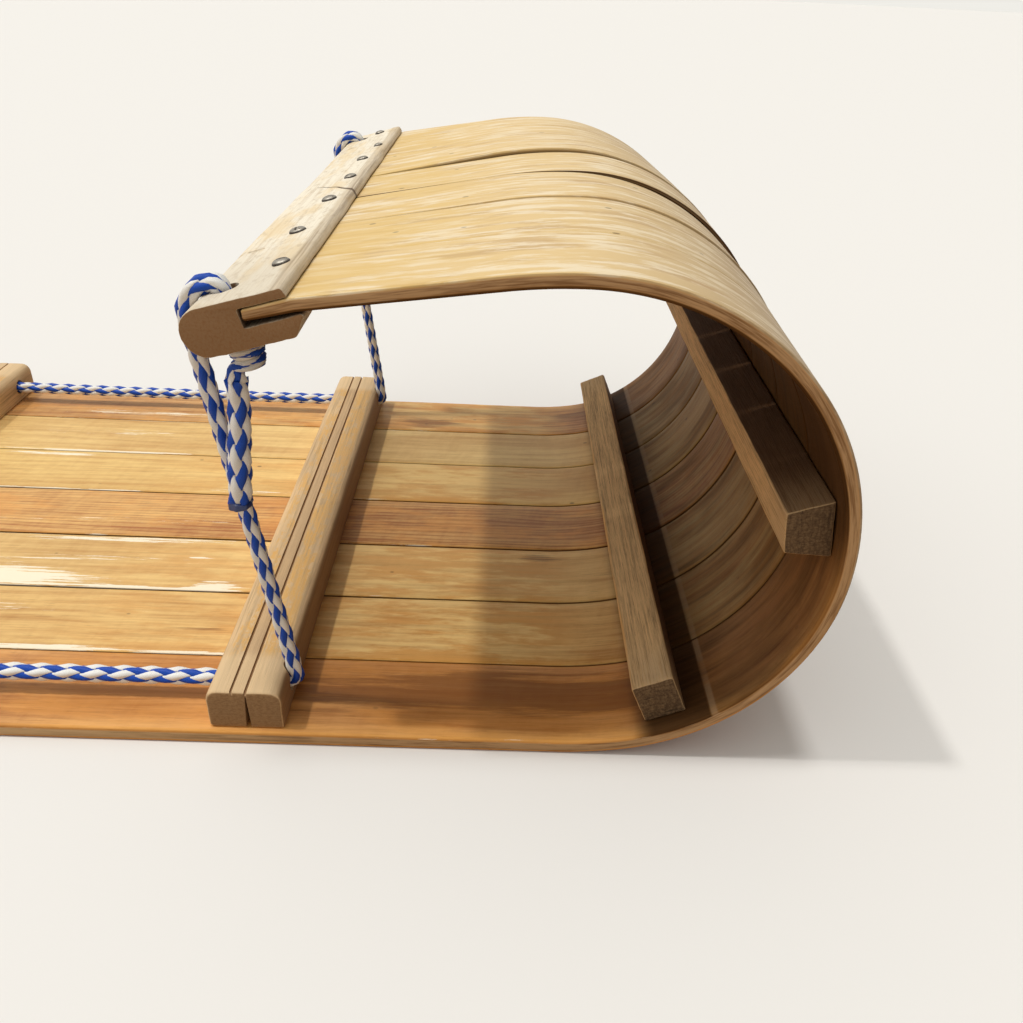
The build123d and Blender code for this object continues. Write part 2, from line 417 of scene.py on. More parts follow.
def store(mesh, name, values):
    """Keeps one vector for each point of a mesh."""
    attribute = mesh.attributes.new(name, "FLOAT_VECTOR", "POINT")
    attribute.data.foreach_set("vector", np.asarray(values, np.float32).ravel())


def rough(points, scale, seed):
    """Smooth noise from about -1 to 1 at each point, scaled on each axis."""
    shift = Vector((seed * 17.3, seed * -9.1, seed * 5.7))
    scaled = points * np.array(scale)
    return np.array([noise.noise(Vector(p) + shift) for p in scaled.tolist()])


def finished_mesh(thing):
    """The plain mesh that an object's modifiers or curve make."""
    bpy.context.view_layer.update()
    graph = bpy.context.evaluated_depsgraph_get()
    evaluated = thing.evaluated_get(graph)
    return bpy.data.meshes.new_from_object(evaluated, preserve_all_data_layers=True, depsgraph=graph)


def cut(name, mesh, cutters):
    """A closed mesh without the cutters' volumes. The cutters are used up."""
    whole = loose_object(name, mesh)
    for cutter in cutters:
        modifier = whole.modifiers.new("Cut", "BOOLEAN")
        modifier.operation = "DIFFERENCE"
        modifier.solver = "EXACT"
        modifier.object = cutter
    result = finished_mesh(whole)
    for thing in (whole, *cutters):
        bpy.data.objects.remove(thing)
    bpy.data.meshes.remove(mesh)
    result.name = name
    return result


def written(work, name):
    """A new mesh from a bmesh, which is used up."""
    mesh = bpy.data.meshes.new(name)
    work.to_mesh(mesh)
    work.free()
    return mesh


def loose_object(name, data):
    """An object that isn't a piece yet."""
    thing = bpy.data.objects.new(name, data)
    bpy.context.scene.collection.objects.link(thing)
    return thing


def dress(piece, material):
    """Gives a piece its only material."""
    piece.data.materials.clear()
    piece.data.materials.append(material)


# Lines


def run_length(line):
    """Length of a line up to each of its points."""
    return np.concatenate(([0], np.cumsum(np.linalg.norm(np.diff(line, axis=0), axis=1))))


def resampled(line, count):
    """The same line in evenly spaced points."""
    run = run_length(line)
    even = np.linspace(0, run[-1], count)
    return np.stack([np.interp(even, run, line[:, k]) for k in range(line.shape[1])], 1)


# Shape of the slats


def bend_radii(rise, run, turned):
    """Radii of the two tangent arcs of a quarter turn, where the first turns that much."""
    s, c = math.sin(turned), math.cos(turned)
    part = s * c - (1 - s) * (1 - c)
    return (rise * c - run * (1 - s)) / part, (run * s - rise * (1 - c)) / part


def nose_point(nose, u, v):
    """A point of the nose bar's own axes as (x, z)."""
    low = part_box("nose_bar")[0]
    s, c = math.sin(nose.tilt), math.cos(nose.tilt)
    x, z = low.x + nose.round_radius, low.z + nose.round_radius
    return x + u * c - v * s, z + u * s + v * c


# Rings along each stretch of a slat: flat deck, five arcs, run to the mouth, slot
STRETCHES = (146, 14, 40, 20, 36, 14, 14, 8)

# How each slat stands over the curl, from the right side to the left: how far it rises
# at the top and how much fuller its shoulder is, on its right edge and on its left
# right rise, right fuller, left rise, left fuller
STANDS = (
    (0.0003, 0.0, 0.0015, 0.002),
    (0.0015, 0.002, 0.0032, 0.004),
    (0.0040, 0.005, 0.0040, 0.003),
    (0.0045, 0.008, 0.0045, 0.007),
    (0.0065, 0.004, 0.0050, 0.001),
    (0.0050, 0.001, 0.0030, -0.002),
    (0.0030, -0.002, 0.0010, -0.005),
)

# Width of the seam after each slat: on the deck, under the curl, at the bend, on top
SEAMS = (
    (0.0003, 0.0005, 0.0008, 0.00015),
    (0.0014, 0.0012, 0.0018, 0.0003),
    (0.0016, 0.0014, 0.0026, 0.0012),
    (0.0015, 0.0010, 0.0014, 0.0014),
    (0.0005, 0.0006, 0.0003, 0.0002),
    (0.0004, 0.0006, 0.0003, 0.0002),
)

# How far a seam wanders off its line, and how far a slat's face rises and falls
SEAM_WANDER = 0.00012
FACE_LIFT = 0.00022

# How dark each slat's right and left edges are over the curl's top
TOP_LINES = ((0, 0), (0, 0.25), (0, 0.9), (0.95, 0.8), (0, 0), (0, 0), (0, 0))


def slat_side(slats, nose, depths, rise, fuller):
    """Points of one side of a slat from tail to tip, sunk by five depths."""
    deck, front, top, mouth, tip = depths
    front_x = CAD_HIGH.x
    low_front, low_back = bend_radii(
        slats.curl_front_height - deck, slats.curl_run - front, slats.front_turn
    )
    crown = slats.curl_height + rise
    setback = slats.top_setback - fuller
    up_front, up_back = bend_radii(
        crown - top - slats.curl_front_height, setback - front, slats.shoulder_turn
    )
    back = slats.back_radius - top
    slot_top = nose.round_radius - nose.upper_jaw
    mouth_xz = nose_point(
        nose, nose.slot_floor + nose.slot_depth + nose.slat_seat, slot_top - nose.slat_seat - mouth
    )
    tip_xz = nose_point(nose, nose.slot_floor + nose.tip_gap, slot_top - nose.slat_seat - tip)
    aside = front_x - setback - mouth_xz[0]
    above = mouth_xz[1] - (crown - slats.back_radius)
    back_turn = math.atan2(aside, above) - math.acos(back / math.hypot(aside, above))
    quarter = math.pi / 2
    arcs = (
        (low_back, quarter - slats.front_turn),
        (low_front, slats.front_turn),
        (up_front, slats.shoulder_turn),
        (up_back, quarter - slats.shoulder_turn),
        (back, back_turn),
    )
    points = [np.array((CAD_LOW.x, deck))]
    heading = 0.0

    def line_to(end, steps):
        start = points[-1]
        points.extend(start + (np.array(end) - start) * k / steps for k in range(1, steps + 1))

    line_to((front_x - slats.curl_run, deck), STRETCHES[0])
    for (radius, turned), steps in zip(arcs, STRETCHES[1:6]):
        centre = points[-1] + radius * np.array((-math.sin(heading), math.cos(heading)))
        for k in range(1, steps + 1):
            angle = heading + turned * k / steps
            points.append(centre + radius * np.array((math.sin(angle), -math.cos(angle))))
        heading += turned
    line_to(mouth_xz, STRETCHES[6])
    line_to(tip_xz, STRETCHES[7])
    return np.array(points)


def slat_ring(width, thick, radius, across_steps=8, side_steps=2, corner_steps=3):
    """(across, up) points round a slat's section, with worn corners."""
    corners = (
        (width - radius, radius, -90),
        (width - radius, thick - radius, 0),
        (radius, thick - radius, 90),
        (radius, radius, 180),
    )
    runs = (side_steps, across_steps, side_steps, across_steps)
    ring = []
    for (x, z, start), run, after in zip(corners, runs, corners[1:] + corners[:1]):
        for k in range(corner_steps + 1):
            angle = math.radians(start + 90 * k / corner_steps)
            ring.append((x + radius * math.cos(angle), z + radius * math.sin(angle)))
        end = math.radians(after[2])
        goal = (after[0] + radius * math.cos(end), after[1] + radius * math.sin(end))
        corner = ring[-1]
        for k in range(1, run):
            part = k / run
            ring.append(tuple(c + (g - c) * part for c, g in zip(corner, goal)))
    return ring


# Marks on the deck side of the slats
# slat, x, past the middle, half length, half breadth, how bare, how stained
MARKS = (
    (3, 0.300, -0.0200, 0.085, 0.0150, 1.25, 0.0),
    (3, 0.400, -0.0275, 0.055, 0.0030, 1.0, 0.0),
    (3, 0.447, -0.0240, 0.024, 0.0070, 0.95, 0.0),
    (3, 0.429, 0.0065, 0.009, 0.0011, 1.0, 0.0),
    (3, 0.380, 0.0250, 0.100, 0.0042, 0.85, 0.0),
    (3, 0.350, 0.0020, 0.120, 0.0080, 0.50, 0.0),
    (3, 0.650, 0.0210, 0.020, 0.0065, 0.0, 0.95),
    (3, 0.720, 0.0000, 0.060, 0.0300, 0.0, 0.4),
    (2, 0.370, -0.0268, 0.070, 0.0040, 1.0, 0.0),
    (2, 0.455, -0.0280, 0.040, 0.0020, 1.0, 0.0),
    (2, 0.452, -0.0072, 0.030, 0.0034, 0.0, 0.66),
    (2, 0.300, 0.0080, 0.120, 0.0060, 0.55, 0.0),
    (6, 0.310, -0.0278, 0.110, 0.0020, 1.0, 0.0),
    (6, 0.300, 0.0050, 0.140, 0.0090, 0.45, 0.0),
    (5, 0.275, 0.0235, 0.070, 0.0034, 0.90, 0.0),
    (5, 0.440, -0.0240, 0.050, 0.0040, 0.60, 0.0),
    (7, 0.330, -0.0150, 0.120, 0.0060, 0.60, 0.0),
    (7, 0.561, -0.0140, 0.034, 0.0120, 0.0, 0.9),
    (7, 0.687, 0.0040, 0.026, 0.0160, 0.0, 0.8),
    (4, 0.360, -0.0100, 0.150, 0.0050, 0.45, 0.0),
    (1, 0.320, -0.0278, 0.055, 0.0030, 1.0, 0.0),
    (1, 0.540, 0.0030, 0.060, 0.0200, 0.0, 0.85),
    (1, 0.625, 0.0060, 0.060, 0.0220, 0.0, 1.15),
    (1, 0.700, 0.0040, 0.050, 0.0210, 0.0, 1.0),
    (1, 0.400, 0.0120, 0.120, 0.0140, 0.0, 0.45),
)
BARE, STAIN = 5, 6


def seam_edge(number, way, along, places):
    """Where a slat ends at the seam on its right side (-1) or its left one (1)."""
    near, far = (0, 1) if way < 0 else (1, 0)
    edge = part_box(f"slat_{number}")[near].y
    if not 1 <= number + way <= SLAT_COUNT:
        return np.full(len(along), edge)
    middle = (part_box(f"slat_{number + way}")[far].y + edge) / 2
    deck, start, bend, tip = SEAMS[number - 1 - far]
    gap = np.interp(along, places, (deck, start, bend, tip, tip))
    wander = rough(lengthwise(along), (1, 1, 1), number + 20 * near)
    return middle - way * gap / 2 + SEAM_WANDER * wander


def lengthwise(along):
    """Points for noise that changes only along a slat."""
    return np.stack((along * 9, along * 0, along * 0), 1)


def build_slat(number, settings):
    """One bent slat that keeps the place of each point on the unbent board, and how far
    along its foremost point and its top lie."""
    slats, nose = settings.toboggan_slats, settings.toboggan_nose
    depths = (
        slats.thickness,
        slats.front_thickness,
        slats.top_thickness,
        slats.mouth_thickness,
        slats.tip_thickness,
    )
    stand = STANDS[number - 1]
    outer, outer_left = [slat_side(slats, nose, (0,) * 5, *s) for s in (stand[:2], stand[2:])]
    inner, inner_left = [slat_side(slats, nose, depths, *s) for s in (stand[:2], stand[2:])]
    along = run_length((outer + inner + outer_left + inner_left) / 4)
    thick = np.linalg.norm(inner - outer, axis=1)
    deck_end, _, front, _, top = along[np.cumsum(STRETCHES)[:5]]
    places = (0, deck_end, front, top, along[-1])
    right = seam_edge(number, -1, along, places)
    left = seam_edge(number, 1, along, places)
    # Over the top the slats touch inside, so that no light falls through the seams
    low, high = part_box(f"slat_{number}")
    closing = np.interp(along, (front, front + 0.03), (0.0, 1.0))
    spare_right = np.clip(right - low.y, 0, None) * closing
    spare_left = np.clip(high.y - left, 0, None) * closing
    wander = lengthwise(along)
    edge = slats.edge_wear * (1 + 0.35 * rough(wander, (2, 1, 1), number + 40))
    edge *= np.interp(along, (front, front + 0.06), (1.0, 0.35))
    lift = FACE_LIFT * rough(wander, (0.6, 1, 1), number + 60)
    rings, unbent = [], []
    for k in range(len(along)):
        width = left[k] - right[k]
        ring = np.array(slat_ring(width, thick[k], edge[k]))
        side = ring[:, 1] / thick[k]
        crown = lift[k] * side * (1 - (2 * ring[:, 0] / width - 1) ** 2)
        height = ((ring[:, 1] + crown) / thick[k])[:, None]
        over = (ring[:, 0] / width)[:, None]
        low_side = outer[k] + (outer_left[k] - outer[k]) * over
        high_side = inner[k] + (inner_left[k] - inner[k]) * over
        flat = low_side + (high_side - low_side) * height
        inside = np.clip((side - 0.16) / 0.34, 0, 1)
        low_y = right[k] - inside * spare_right[k]
        high_y = left[k] + inside * spare_left[k]
        rings.append(np.stack((flat[:, 0], low_y + (high_y - low_y) * over[:, 0], flat[:, 1]), 1))
        unbent.append(np.stack((np.full(len(ring), along[k]), ring[:, 0] - width / 2, side), 1))
    rings, unbent = close_ends(np.array(rings), np.array(unbent), slats.edge_wear)
    mesh = ring_mesh(f"slat_{number}", rings)
    flat = unbent.reshape(-1, 3)
    flat[:, 2] *= slats.thickness
    store(mesh, "unbent", flat)
    return mesh, float(front), float(top)


def close_ends(rings, unbent, radius):
    """Rounds both ends over by drawing extra rings in, and turns them round in between."""
    for _ in range(2):
        outward = (rings[0] - rings[1]).mean(0)
        outward /= np.linalg.norm(outward)
        centre = rings[0].mean(0)
        spread = rings[0] - centre
        size = np.abs(spread).max(0) + 1e-9
        added = []
        for part in (1.0, 0.75, 0.35):
            angle = part * math.pi / 2
            shrink = np.clip(1 - radius * (1 - math.cos(angle)) / size, 0, 1)
            added.append(centre + spread * shrink + outward * radius * (math.sin(angle) - 1))
        rings = np.array([*added, rings[0] - outward * radius, *rings[1:]])[::-1]
        unbent = np.array([unbent[0]] * len(added) + [*unbent])[::-1]
    return rings, unbent


# Look of each slat, from the right side to the left: light tone and dark tone as they
# show, how strong its streaks are, its growth rings' pitch and strength
# light, dark, streaks, ring pitch, ring strength
LOOKS = (
    ((238, 180, 112), (168, 108, 56), 1.00, 0.0050, 0.60),
    ((236, 198, 128), (184, 132, 70), 0.80, 0.0095, 0.50),
    ((242, 208, 140), (196, 150, 88), 0.80, 0.0080, 0.45),
    ((244, 198, 124), (170, 108, 56), 0.85, 0.0034, 0.90),
    ((242, 208, 134), (200, 152, 86), 0.75, 0.0075, 0.50),
    ((246, 214, 144), (202, 156, 92), 0.75, 0.0085, 0.45),
    ((228, 180, 116), (164, 108, 58), 0.90, 0.0045, 0.60),
)

# Half of a slat's breadth, and how far along a pale line crosses the slats
HALF_BREADTH = 0.0285
PALE_LINE = 1.5185


def marked(nodes, flat, number, thickness, column):
    """How strongly the marks of one kind cover the deck side of a slat."""
    total = 0.0
    for mark in MARKS:
        slat, x, past, length, breadth = mark[:5]
        if slat == number and mark[column]:
            off = nodes.vector("SUBTRACT", flat, (x - CAD_LOW.x, past, thickness))
            off = nodes.vector("MULTIPLY", off, (1 / length, 1 / breadth, 2 / thickness))
            spot = nodes.between(nodes.vector("LENGTH", off, output=1), 1.35, 0.1)
            total = nodes.times_plus(spot, mark[column], total)
    return total


def slat_wood(number, front_at, top_at, settings):
    """Worn varnish on wood whose grain follows the bend."""
    finishes, thickness = settings.toboggan_finishes, settings.toboggan_slats.thickness
    light, dark, streaky, pitch, ringed = LOOKS[number - 1]
    material, nodes = new_material(f"Slat wood {number}")
    between, times, coat = nodes.between, nodes.times, nodes.coat
    flat = nodes.attribute("unbent")
    place = nodes.vector("ADD", flat, (number * 3.7, number * 0.31, number * 0.17))
    along, across, depth = nodes.parts(flat)
    deck_side = between(depth, 0.0055, 0.0068)
    outside = between(depth, 0.0020, 0.0009)
    to_left = between(across, -0.001, 0.001)
    past_front = between(along, front_at, front_at + 0.05)

    broad = nodes.noise(place, (5, 28, 30), 3.0, 0.55)
    streaks = nodes.noise(place, (10, 210, 160), 4.0, 0.65)
    lines = nodes.noise(place, (44, 1100, 700), 3.0, 0.6)
    fibre = nodes.noise(place, (160, 4200, 2200), 2.0, 0.5)
    warp = nodes.noise(place, (2.6, 20, 20), 2.0, 0.5)
    slanted = nodes.out("ShaderNodeMapping", {"Vector": place, "Rotation": (0, 0, 0.25)})
    figure = nodes.noise(slanted, (120, 34, 30), 4.0, 0.65, 0.5)
    blotches = nodes.noise(place, (11, 60, 40), 3.0, 0.6)
    patchy = nodes.noise(place, (16, 240, 60), 5.0, 0.7)

    # Growth rings, streaks and the curl of the grain
    rings = times(nodes.times_plus(warp, 0.034, across), 2 * math.pi / pitch)
    tone = nodes.layered(
        (nodes.math("COSINE", rings), -0.1, 0.95, 0.30 * ringed),
        (streaks, 0.36, 0.70, 0.46 * streaky),
        (lines, 0.44, 0.72, 0.22),
        (broad, 0.35, 0.7, 0.34),
        (figure, 0.38, 0.66, 0.12),
    )
    wood = nodes.mix(nodes.math("ADD", tone, 0.12), linear(*light), linear(*dark))
    if number in (1, 4, SLAT_COUNT):
        golden = nodes.noise(place, (18, 60, 40), 4.0, 0.65)
        wood = coat(wood, linear(226, 160, 84), between(golden, 0.48, 0.62, 0.0, 0.5))
    pores = times(between(fibre, 0.60, 0.74), 0.30)
    wood = nodes.mix(pores, wood, linear(*dark), "MULTIPLY")
    flecks = between(nodes.noise(place, (70, 1300, 600), 2.0, 0.6), 0.60, 0.70)
    wood = coat(wood, linear(*(c * 0.8 for c in dark)), flecks, 0.38)

    # Towards the curl: browner on slat 1; golden on others, and lighter further on, where painted light
    # brightens the curl's shadow
    if number == 1:
        ahead = between(along, 1.13, 1.19)
        inner = times(ahead, between(across, -0.025, -0.018), between(broad, 0.30, 0.60, 0.15, 0.55))
        wood = coat(wood, linear(190, 120, 40), inner)
        wood = coat(wood, linear(226, 164, 84), ahead, between(across, -0.019, -0.026), 0.5)
    elif number in (2, 3, 5, SLAT_COUNT):
        ahead = between(along, 1.12, 1.20, 0.0, 0.40)
        # This second rise lightens the deck where the curl's shadow falls: painted light
        ahead = nodes.math("ADD", ahead, between(along, 1.24, 1.36, 0.0, 0.35))
        gold = between(nodes.noise(place, (15, 70, 40), 5.0, 0.7), 0.42, 0.58)
        golden_and_painted_light = nodes.mix(gold, linear(250, 212, 138), linear(222, 158, 78))
        streaked = between(streaks, 0.34, 0.66, 1.0, 0.5)
        wood = coat(wood, golden_and_painted_light, ahead, between(along, 1.47, 1.42), streaked)
    # Dark stains drawn out along the grain
    if any(mark[0] == number and mark[STAIN] for mark in MARKS):
        stain = marked(nodes, flat, number, thickness, STAIN)
        ragged = nodes.math("ADD", stain, nodes.times_plus(patchy, 2.2, -1.45))
        wood = coat(wood, finishes.stain, between(ragged, 0.0, 0.55), between(stain, 0.02, 0.3), 0.64)

    # Painted shade and dirt beyond the bar where the curl starts, up to a pale line, and in the curl
    behind_bar = times(between(along, 1.470, 1.486), between(along, PALE_LINE, PALE_LINE - 0.003))
    in_curl = between(along, front_at - 0.09, front_at + 0.03)
    in_curl = times(in_curl, between(along, top_at, front_at + 0.09, 0.35, 1.0))
    low_curl = times(between(along, 1.45, 1.53), between(blotches, 0.38, 0.66, 0.74, 0.97))
    dirt_and_painted_shade = nodes.math("MAXIMUM", nodes.math("MAXIMUM", behind_bar, in_curl), low_curl)
    dirt_and_painted_shade = times(dirt_and_painted_shade, deck_side)
    brown = linear(98, 68, 42) if number == 1 else linear(104, 64, 30)
    shade_and_dirt_colour = nodes.mix(between(patchy, 0.34, 0.74), brown, finishes.grime)
    wood = coat(wood, shade_and_dirt_colour, dirt_and_painted_shade, 0.90)
    # Deeper painted shade, with dirt, behind that bar and inside the curl from its foremost point on
    deep = nodes.math("MAXIMUM", behind_bar, between(along, front_at - 0.01, front_at + 0.05))
    wood = coat(wood, linear(40, 22, 10), deep, deck_side, 0.6)
    pale = between(along, PALE_LINE - 0.0022, PALE_LINE - 0.0015)
    pale = times(pale, between(along, PALE_LINE + 0.0023, PALE_LINE + 0.0009), deck_side)
    wood = coat(wood, linear(164, 138, 108), pale, between(blotches, 0.35, 0.60, 0.05, 0.42))

    # Outside the curl: bare streaks and brown ones on cream, greyer at the bend
    bleach = times(outside, between(along, front_at - 0.14, front_at + 0.02))
    bend = between(along, top_at + 0.02, front_at + 0.08)
    cream = nodes.mix(bend, linear(218, 190, 138), linear(164, 142, 114))
    browned = between(nodes.noise(place, (18, 110, 80), 4.0, 0.6), 0.50, 0.66)
    cream = coat(cream, linear(172, 136, 92), browned, 0.5)
    whited = between(nodes.noise(place, (26, 170, 100), 5.0, 0.68), 0.47, 0.60)
    cream = coat(cream, linear(232, 218, 190), whited, nodes.times_plus(bend, -0.45, 0.8))
    honey = between(nodes.noise(place, (13, 44, 40), 4.0, 0.65), 0.42, 0.56)
    honey = times(between(along, top_at + 0.01, top_at + 0.09), honey)
    cream = coat(cream, linear(214, 180, 108), honey, 0.65)
    wood = coat(wood, cream, bleach)

    # Bare wood along the edges, in scuffs and in the marks
    edge = nodes.math("SUBTRACT", HALF_BREADTH, nodes.math("ABSOLUTE", across))
    torn = nodes.times_plus(nodes.noise(place, (24, 620, 300), 6.0, 0.75), 2.8, -2.02)
    rubbed = between(nodes.noise(place, (9, 30, 30), 2.0, 0.5), 0.48, 0.64, 0.25, 0.95)
    rubbed = times(rubbed, between(along, 1.10, 1.16, 1.0, 0.45))
    worn = times(between(edge, 0.0018, 0.0003), rubbed)
    worn = nodes.math("MAXIMUM", worn, marked(nodes, flat, number, thickness, BARE))
    worn = between(nodes.math("ADD", worn, torn), -0.02, 0.10)
    on_top = times(bleach, nodes.times_plus(bend, -0.60, 0.65))
    worn = times(worn, nodes.math("MAXIMUM", deck_side, on_top), nodes.math("SUBTRACT", 1.0, dirt_and_painted_shade))
    worn = times(worn, between(times(along, deck_side), 1.36, 1.46, 1.0, 0.1))
    wood = coat(wood, finishes.bare, worn, 0.92)

    # Grime in the corners along the seams that show on top
    at_right, at_left = TOP_LINES[number - 1]
    if at_right or at_left:
        brink = times(between(edge, 0.0008, 0.0003), outside, past_front)
        brink = times(brink, between(across, -0.001, 0.001, at_right, at_left))
        wood = coat(wood, linear(84, 60, 38), brink)

    # Weathered sides, dark with grime where they lie in a seam
    side = nodes.math("SUBTRACT", nodes.math("SUBTRACT", 1.0, deck_side), outside)
    lined = between(lines, 0.40, 0.68)
    tan = nodes.mix(lined, linear(194, 160, 120), linear(144, 110, 76))
    tan = coat(tan, linear(228, 200, 156), between(along, 1.35, 1.15, 0.0, 0.6))
    seam = nodes.mix(lined, linear(92, 66, 42), linear(48, 33, 21))
    if number == 1:
        seam = nodes.mix(to_left, tan, seam)
    elif number == SLAT_COUNT:
        seam = nodes.mix(to_left, seam, tan)
    elif number == 5:
        # It stands proud on top, where the outer part of its sides is clean
        clean = times(past_front, between(depth, 0.0042, 0.0022))
        seam = coat(seam, linear(176, 146, 100), clean, 0.75)
    seam = coat(seam, linear(150, 116, 80), between(along, top_at + 0.10, top_at + 0.17), 0.6)
    wood = coat(wood, seam, nodes.math("MAXIMUM", side, 0.0))
    # Grime on the worn edges along the seams
    corner = times(between(depth, 0.0077, 0.0071), between(depth, 0.0060, 0.0068))
    if number == 1:
        corner = times(corner, to_left)
    elif number == SLAT_COUNT:
        corner = times(corner, between(across, 0.001, -0.001))
    wood = coat(wood, linear(70, 44, 24), corner, 0.85)

    # Small dark specks
    scaled = nodes.vector("MULTIPLY", place, (46, 70, 70))
    spots = nodes.add("ShaderNodeTexVoronoi", {"Vector": scaled, "Scale": 1.0}).outputs
    speck = between(spots["Distance"], 0.10, 0.05)
    chosen = nodes.times_plus(bleach, 0.34, nodes.parts(spots["Color"])[0])
    wood = coat(wood, finishes.grime, speck, between(chosen, 0.80, 0.86), 0.55)

    roughness = nodes.times_plus(worn, 0.25, 0.42)
    roughness = nodes.times_plus(fibre, 0.12, roughness)
    roughness = nodes.times_plus(bleach, 0.14, roughness)
    gloss = between(edge, 0.0008, 0.0018, 0.05, 0.4)
    gloss = times(gloss, nodes.times_plus(dirt_and_painted_shade, -0.9, 1.0))
    relief = nodes.times_plus(lines, 0.35, times(fibre, 0.5))
    relief = nodes.times_plus(worn, -0.35, relief)
    normal = nodes.bump(relief, 0.00022, 0.45)
    surface(nodes, color=wood, roughness=roughness, normal=normal, specular=gloss)
    return material


# Bars


def rounded(corners, steps):
    """Points round a section from (x, z, radius) corners, drawn the same way round."""
    points = []
    count = len(corners)
    for k in range(count):
        here = np.array(corners[k][:2])
        back = np.array(corners[k - 1][:2]) - here
        ahead = np.array(corners[(k + 1) % count][:2]) - here
        radius = corners[k][2]
        back /= np.linalg.norm(back)
        ahead /= np.linalg.norm(ahead)
        if radius <= 0:
            points.append(here)
            continue
        half = math.acos(float(np.clip(back @ ahead, -1, 1))) / 2
        reach = radius / math.tan(half)
        centre = here + (back + ahead) / np.linalg.norm(back + ahead) * radius / math.sin(half)
        start, end = here + back * reach - centre, here + ahead * reach - centre
        first = math.atan2(start[1], start[0])
        swing = (math.atan2(end[1], end[0]) - first + math.pi) % (2 * math.pi) - math.pi
        for n in range(steps + 1):
            angle = first + swing * n / steps
            points.append(centre + radius * np.array((math.cos(angle), math.sin(angle))))
    return np.array(points)


def divided(points, longest):
    """The same closed line with no side over a length."""
    result = []
    for here, after in zip(points, np.roll(points, -1, axis=0)):
        parts = max(1, math.ceil(np.linalg.norm(after - here) / longest))
        result.extend(here + (after - here) * k / parts for k in range(parts))
    return np.array(result)


def crossbar_section(bars, centre_x, foot, top, half_width):
    """The crossbar's section with its two saw kerfs, anticlockwise from the foot."""
    right, left = centre_x + half_width, centre_x - half_width
    corners = [
        (left, foot, bars.foot_round),
        (right, foot, bars.foot_round),
        (right, top, bars.top_round),
    ]
    for side in (0.5, -0.5):
        kerf = centre_x + bars.kerf_shift + side * bars.kerf_pitch
        for across, depth in ((0.5, 0), (0.5, 1), (-0.5, 1), (-0.5, 0)):
            corners.append((kerf + across * bars.kerf_width, top - depth * bars.kerf_depth, 0.00035))
    corners.append((left, top, bars.top_round))
    return divided(rounded(corners, 4), 0.0032)


def cylinder_between(name, start, end, radius, sides=28):
    """A round cutter from one point to another."""
    way = Vector(end) - Vector(start)
    middle = Matrix.Translation((Vector(start) + Vector(end)) / 2)
    shape = {"segments": sides, "radius1": radius, "radius2": radius, "depth": way.length}
    work = bmesh.new()
    matrix = middle @ way.to_track_quat("Z", "Y").to_matrix().to_4x4()
    bmesh.ops.create_cone(work, cap_ends=True, matrix=matrix, **shape)
    return loose_object(name, written(work, name))


def wedge(name, corners, low_y, high_y):
    """A thin cutter that leaves a crack: a section (x, z) between two ends."""
    rings = np.array([[(x, y, z) for x, z in corners] for y in (low_y, high_y)])
    return loose_object(name, ring_mesh(name, rings))


def bar_rings(section, low_y, high_y, end_round, relief, seed, step, slotted=False):
    """Rings of a worn bar: a section (along, up) drawn from one end to the other."""
    centre = (section.max(0) + section.min(0)) / 2
    half = (section.max(0) - section.min(0)) / 2
    count = max(2, round((high_y - low_y) / step))
    inner = np.linspace(low_y + end_round, high_y - end_round, count)
    stations = [(y, 0.0) for y in inner]
    for angle in (0.4, 0.8, 1.2, math.pi / 2):
        drawn = end_round * (1 - math.cos(angle))
        stations.append((high_y - end_round * (1 - math.sin(angle)), drawn))
        stations.insert(0, (low_y + end_round * (1 - math.sin(angle)), drawn))
    tangent = np.roll(section, -1, axis=0) - np.roll(section, 1, axis=0)
    outward = np.stack((tangent[:, 1], -tangent[:, 0]), 1)
    outward /= np.linalg.norm(outward, axis=1, keepdims=True) + 1e-12
    rings = []
    for y, drawn in stations:
        sample = np.stack((section[:, 0], np.full(len(section), y), section[:, 1]), 1)
        bumps = rough(sample, (140, 30, 140), seed) + 0.6 * rough(sample, (420, 60, 420), seed + 1)
        flat = section - outward * drawn if slotted else centre + (section - centre) * (1 - drawn / half)
        flat = flat + outward * (relief * (bumps - 0.6))[:, None]
        rings.append(np.stack((flat[:, 0], np.full(len(flat), y), flat[:, 1]), 1))
    return np.array(rings)


def moved(rings, place):
    """Rings carried from a bar's own axes to the sled's."""
    points = [place @ Vector(point) for point in rings.reshape(-1, 3).tolist()]
    return np.array(points).reshape(rings.shape)


def own_axes(mesh, place):
    """Keeps where each point lies in a bar's own axes."""
    back = place.inverted()
    store(mesh, "own", [back @ Vector(point) for point in coordinates(mesh).tolist()])


def tube(name, line, radius, sides=24):
    """A cutter that follows a line."""
    rings = []
    for k in range(len(line)):
        way = line[min(k + 1, len(line) - 1)] - line[max(k - 1, 0)]
        first = np.cross(way, (0, 1, 0))
        first /= np.linalg.norm(first)
        second = np.cross(way, first)
        second /= np.linalg.norm(second)
        angles = [2 * math.pi * n / sides for n in range(sides)]
        rings.append([line[k] + radius * (math.cos(a) * first + math.sin(a) * second) for a in angles])
    return loose_object(name, ring_mesh(name, np.array(rings)))


def rope_wear(side, settings):
    """A cutter along a side rope, from the first crossbar's middle to under the nose bar."""
    line = rope_line(side, settings)[0]
    start = (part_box("crossbar_1")[0].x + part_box("crossbar_1")[1].x) / 2
    end_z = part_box("nose_bar")[0].z + 0.006
    inside = (line[:, 0] > start) & (line[:, 2] < 0.05)
    last = len(line) - 1 - np.argmax(line[::-1, 2] > end_z)
    chosen = line[np.argmax(inside) : last][::3]
    return tube("wear", chosen, settings.toboggan_ropes.worn_radius)


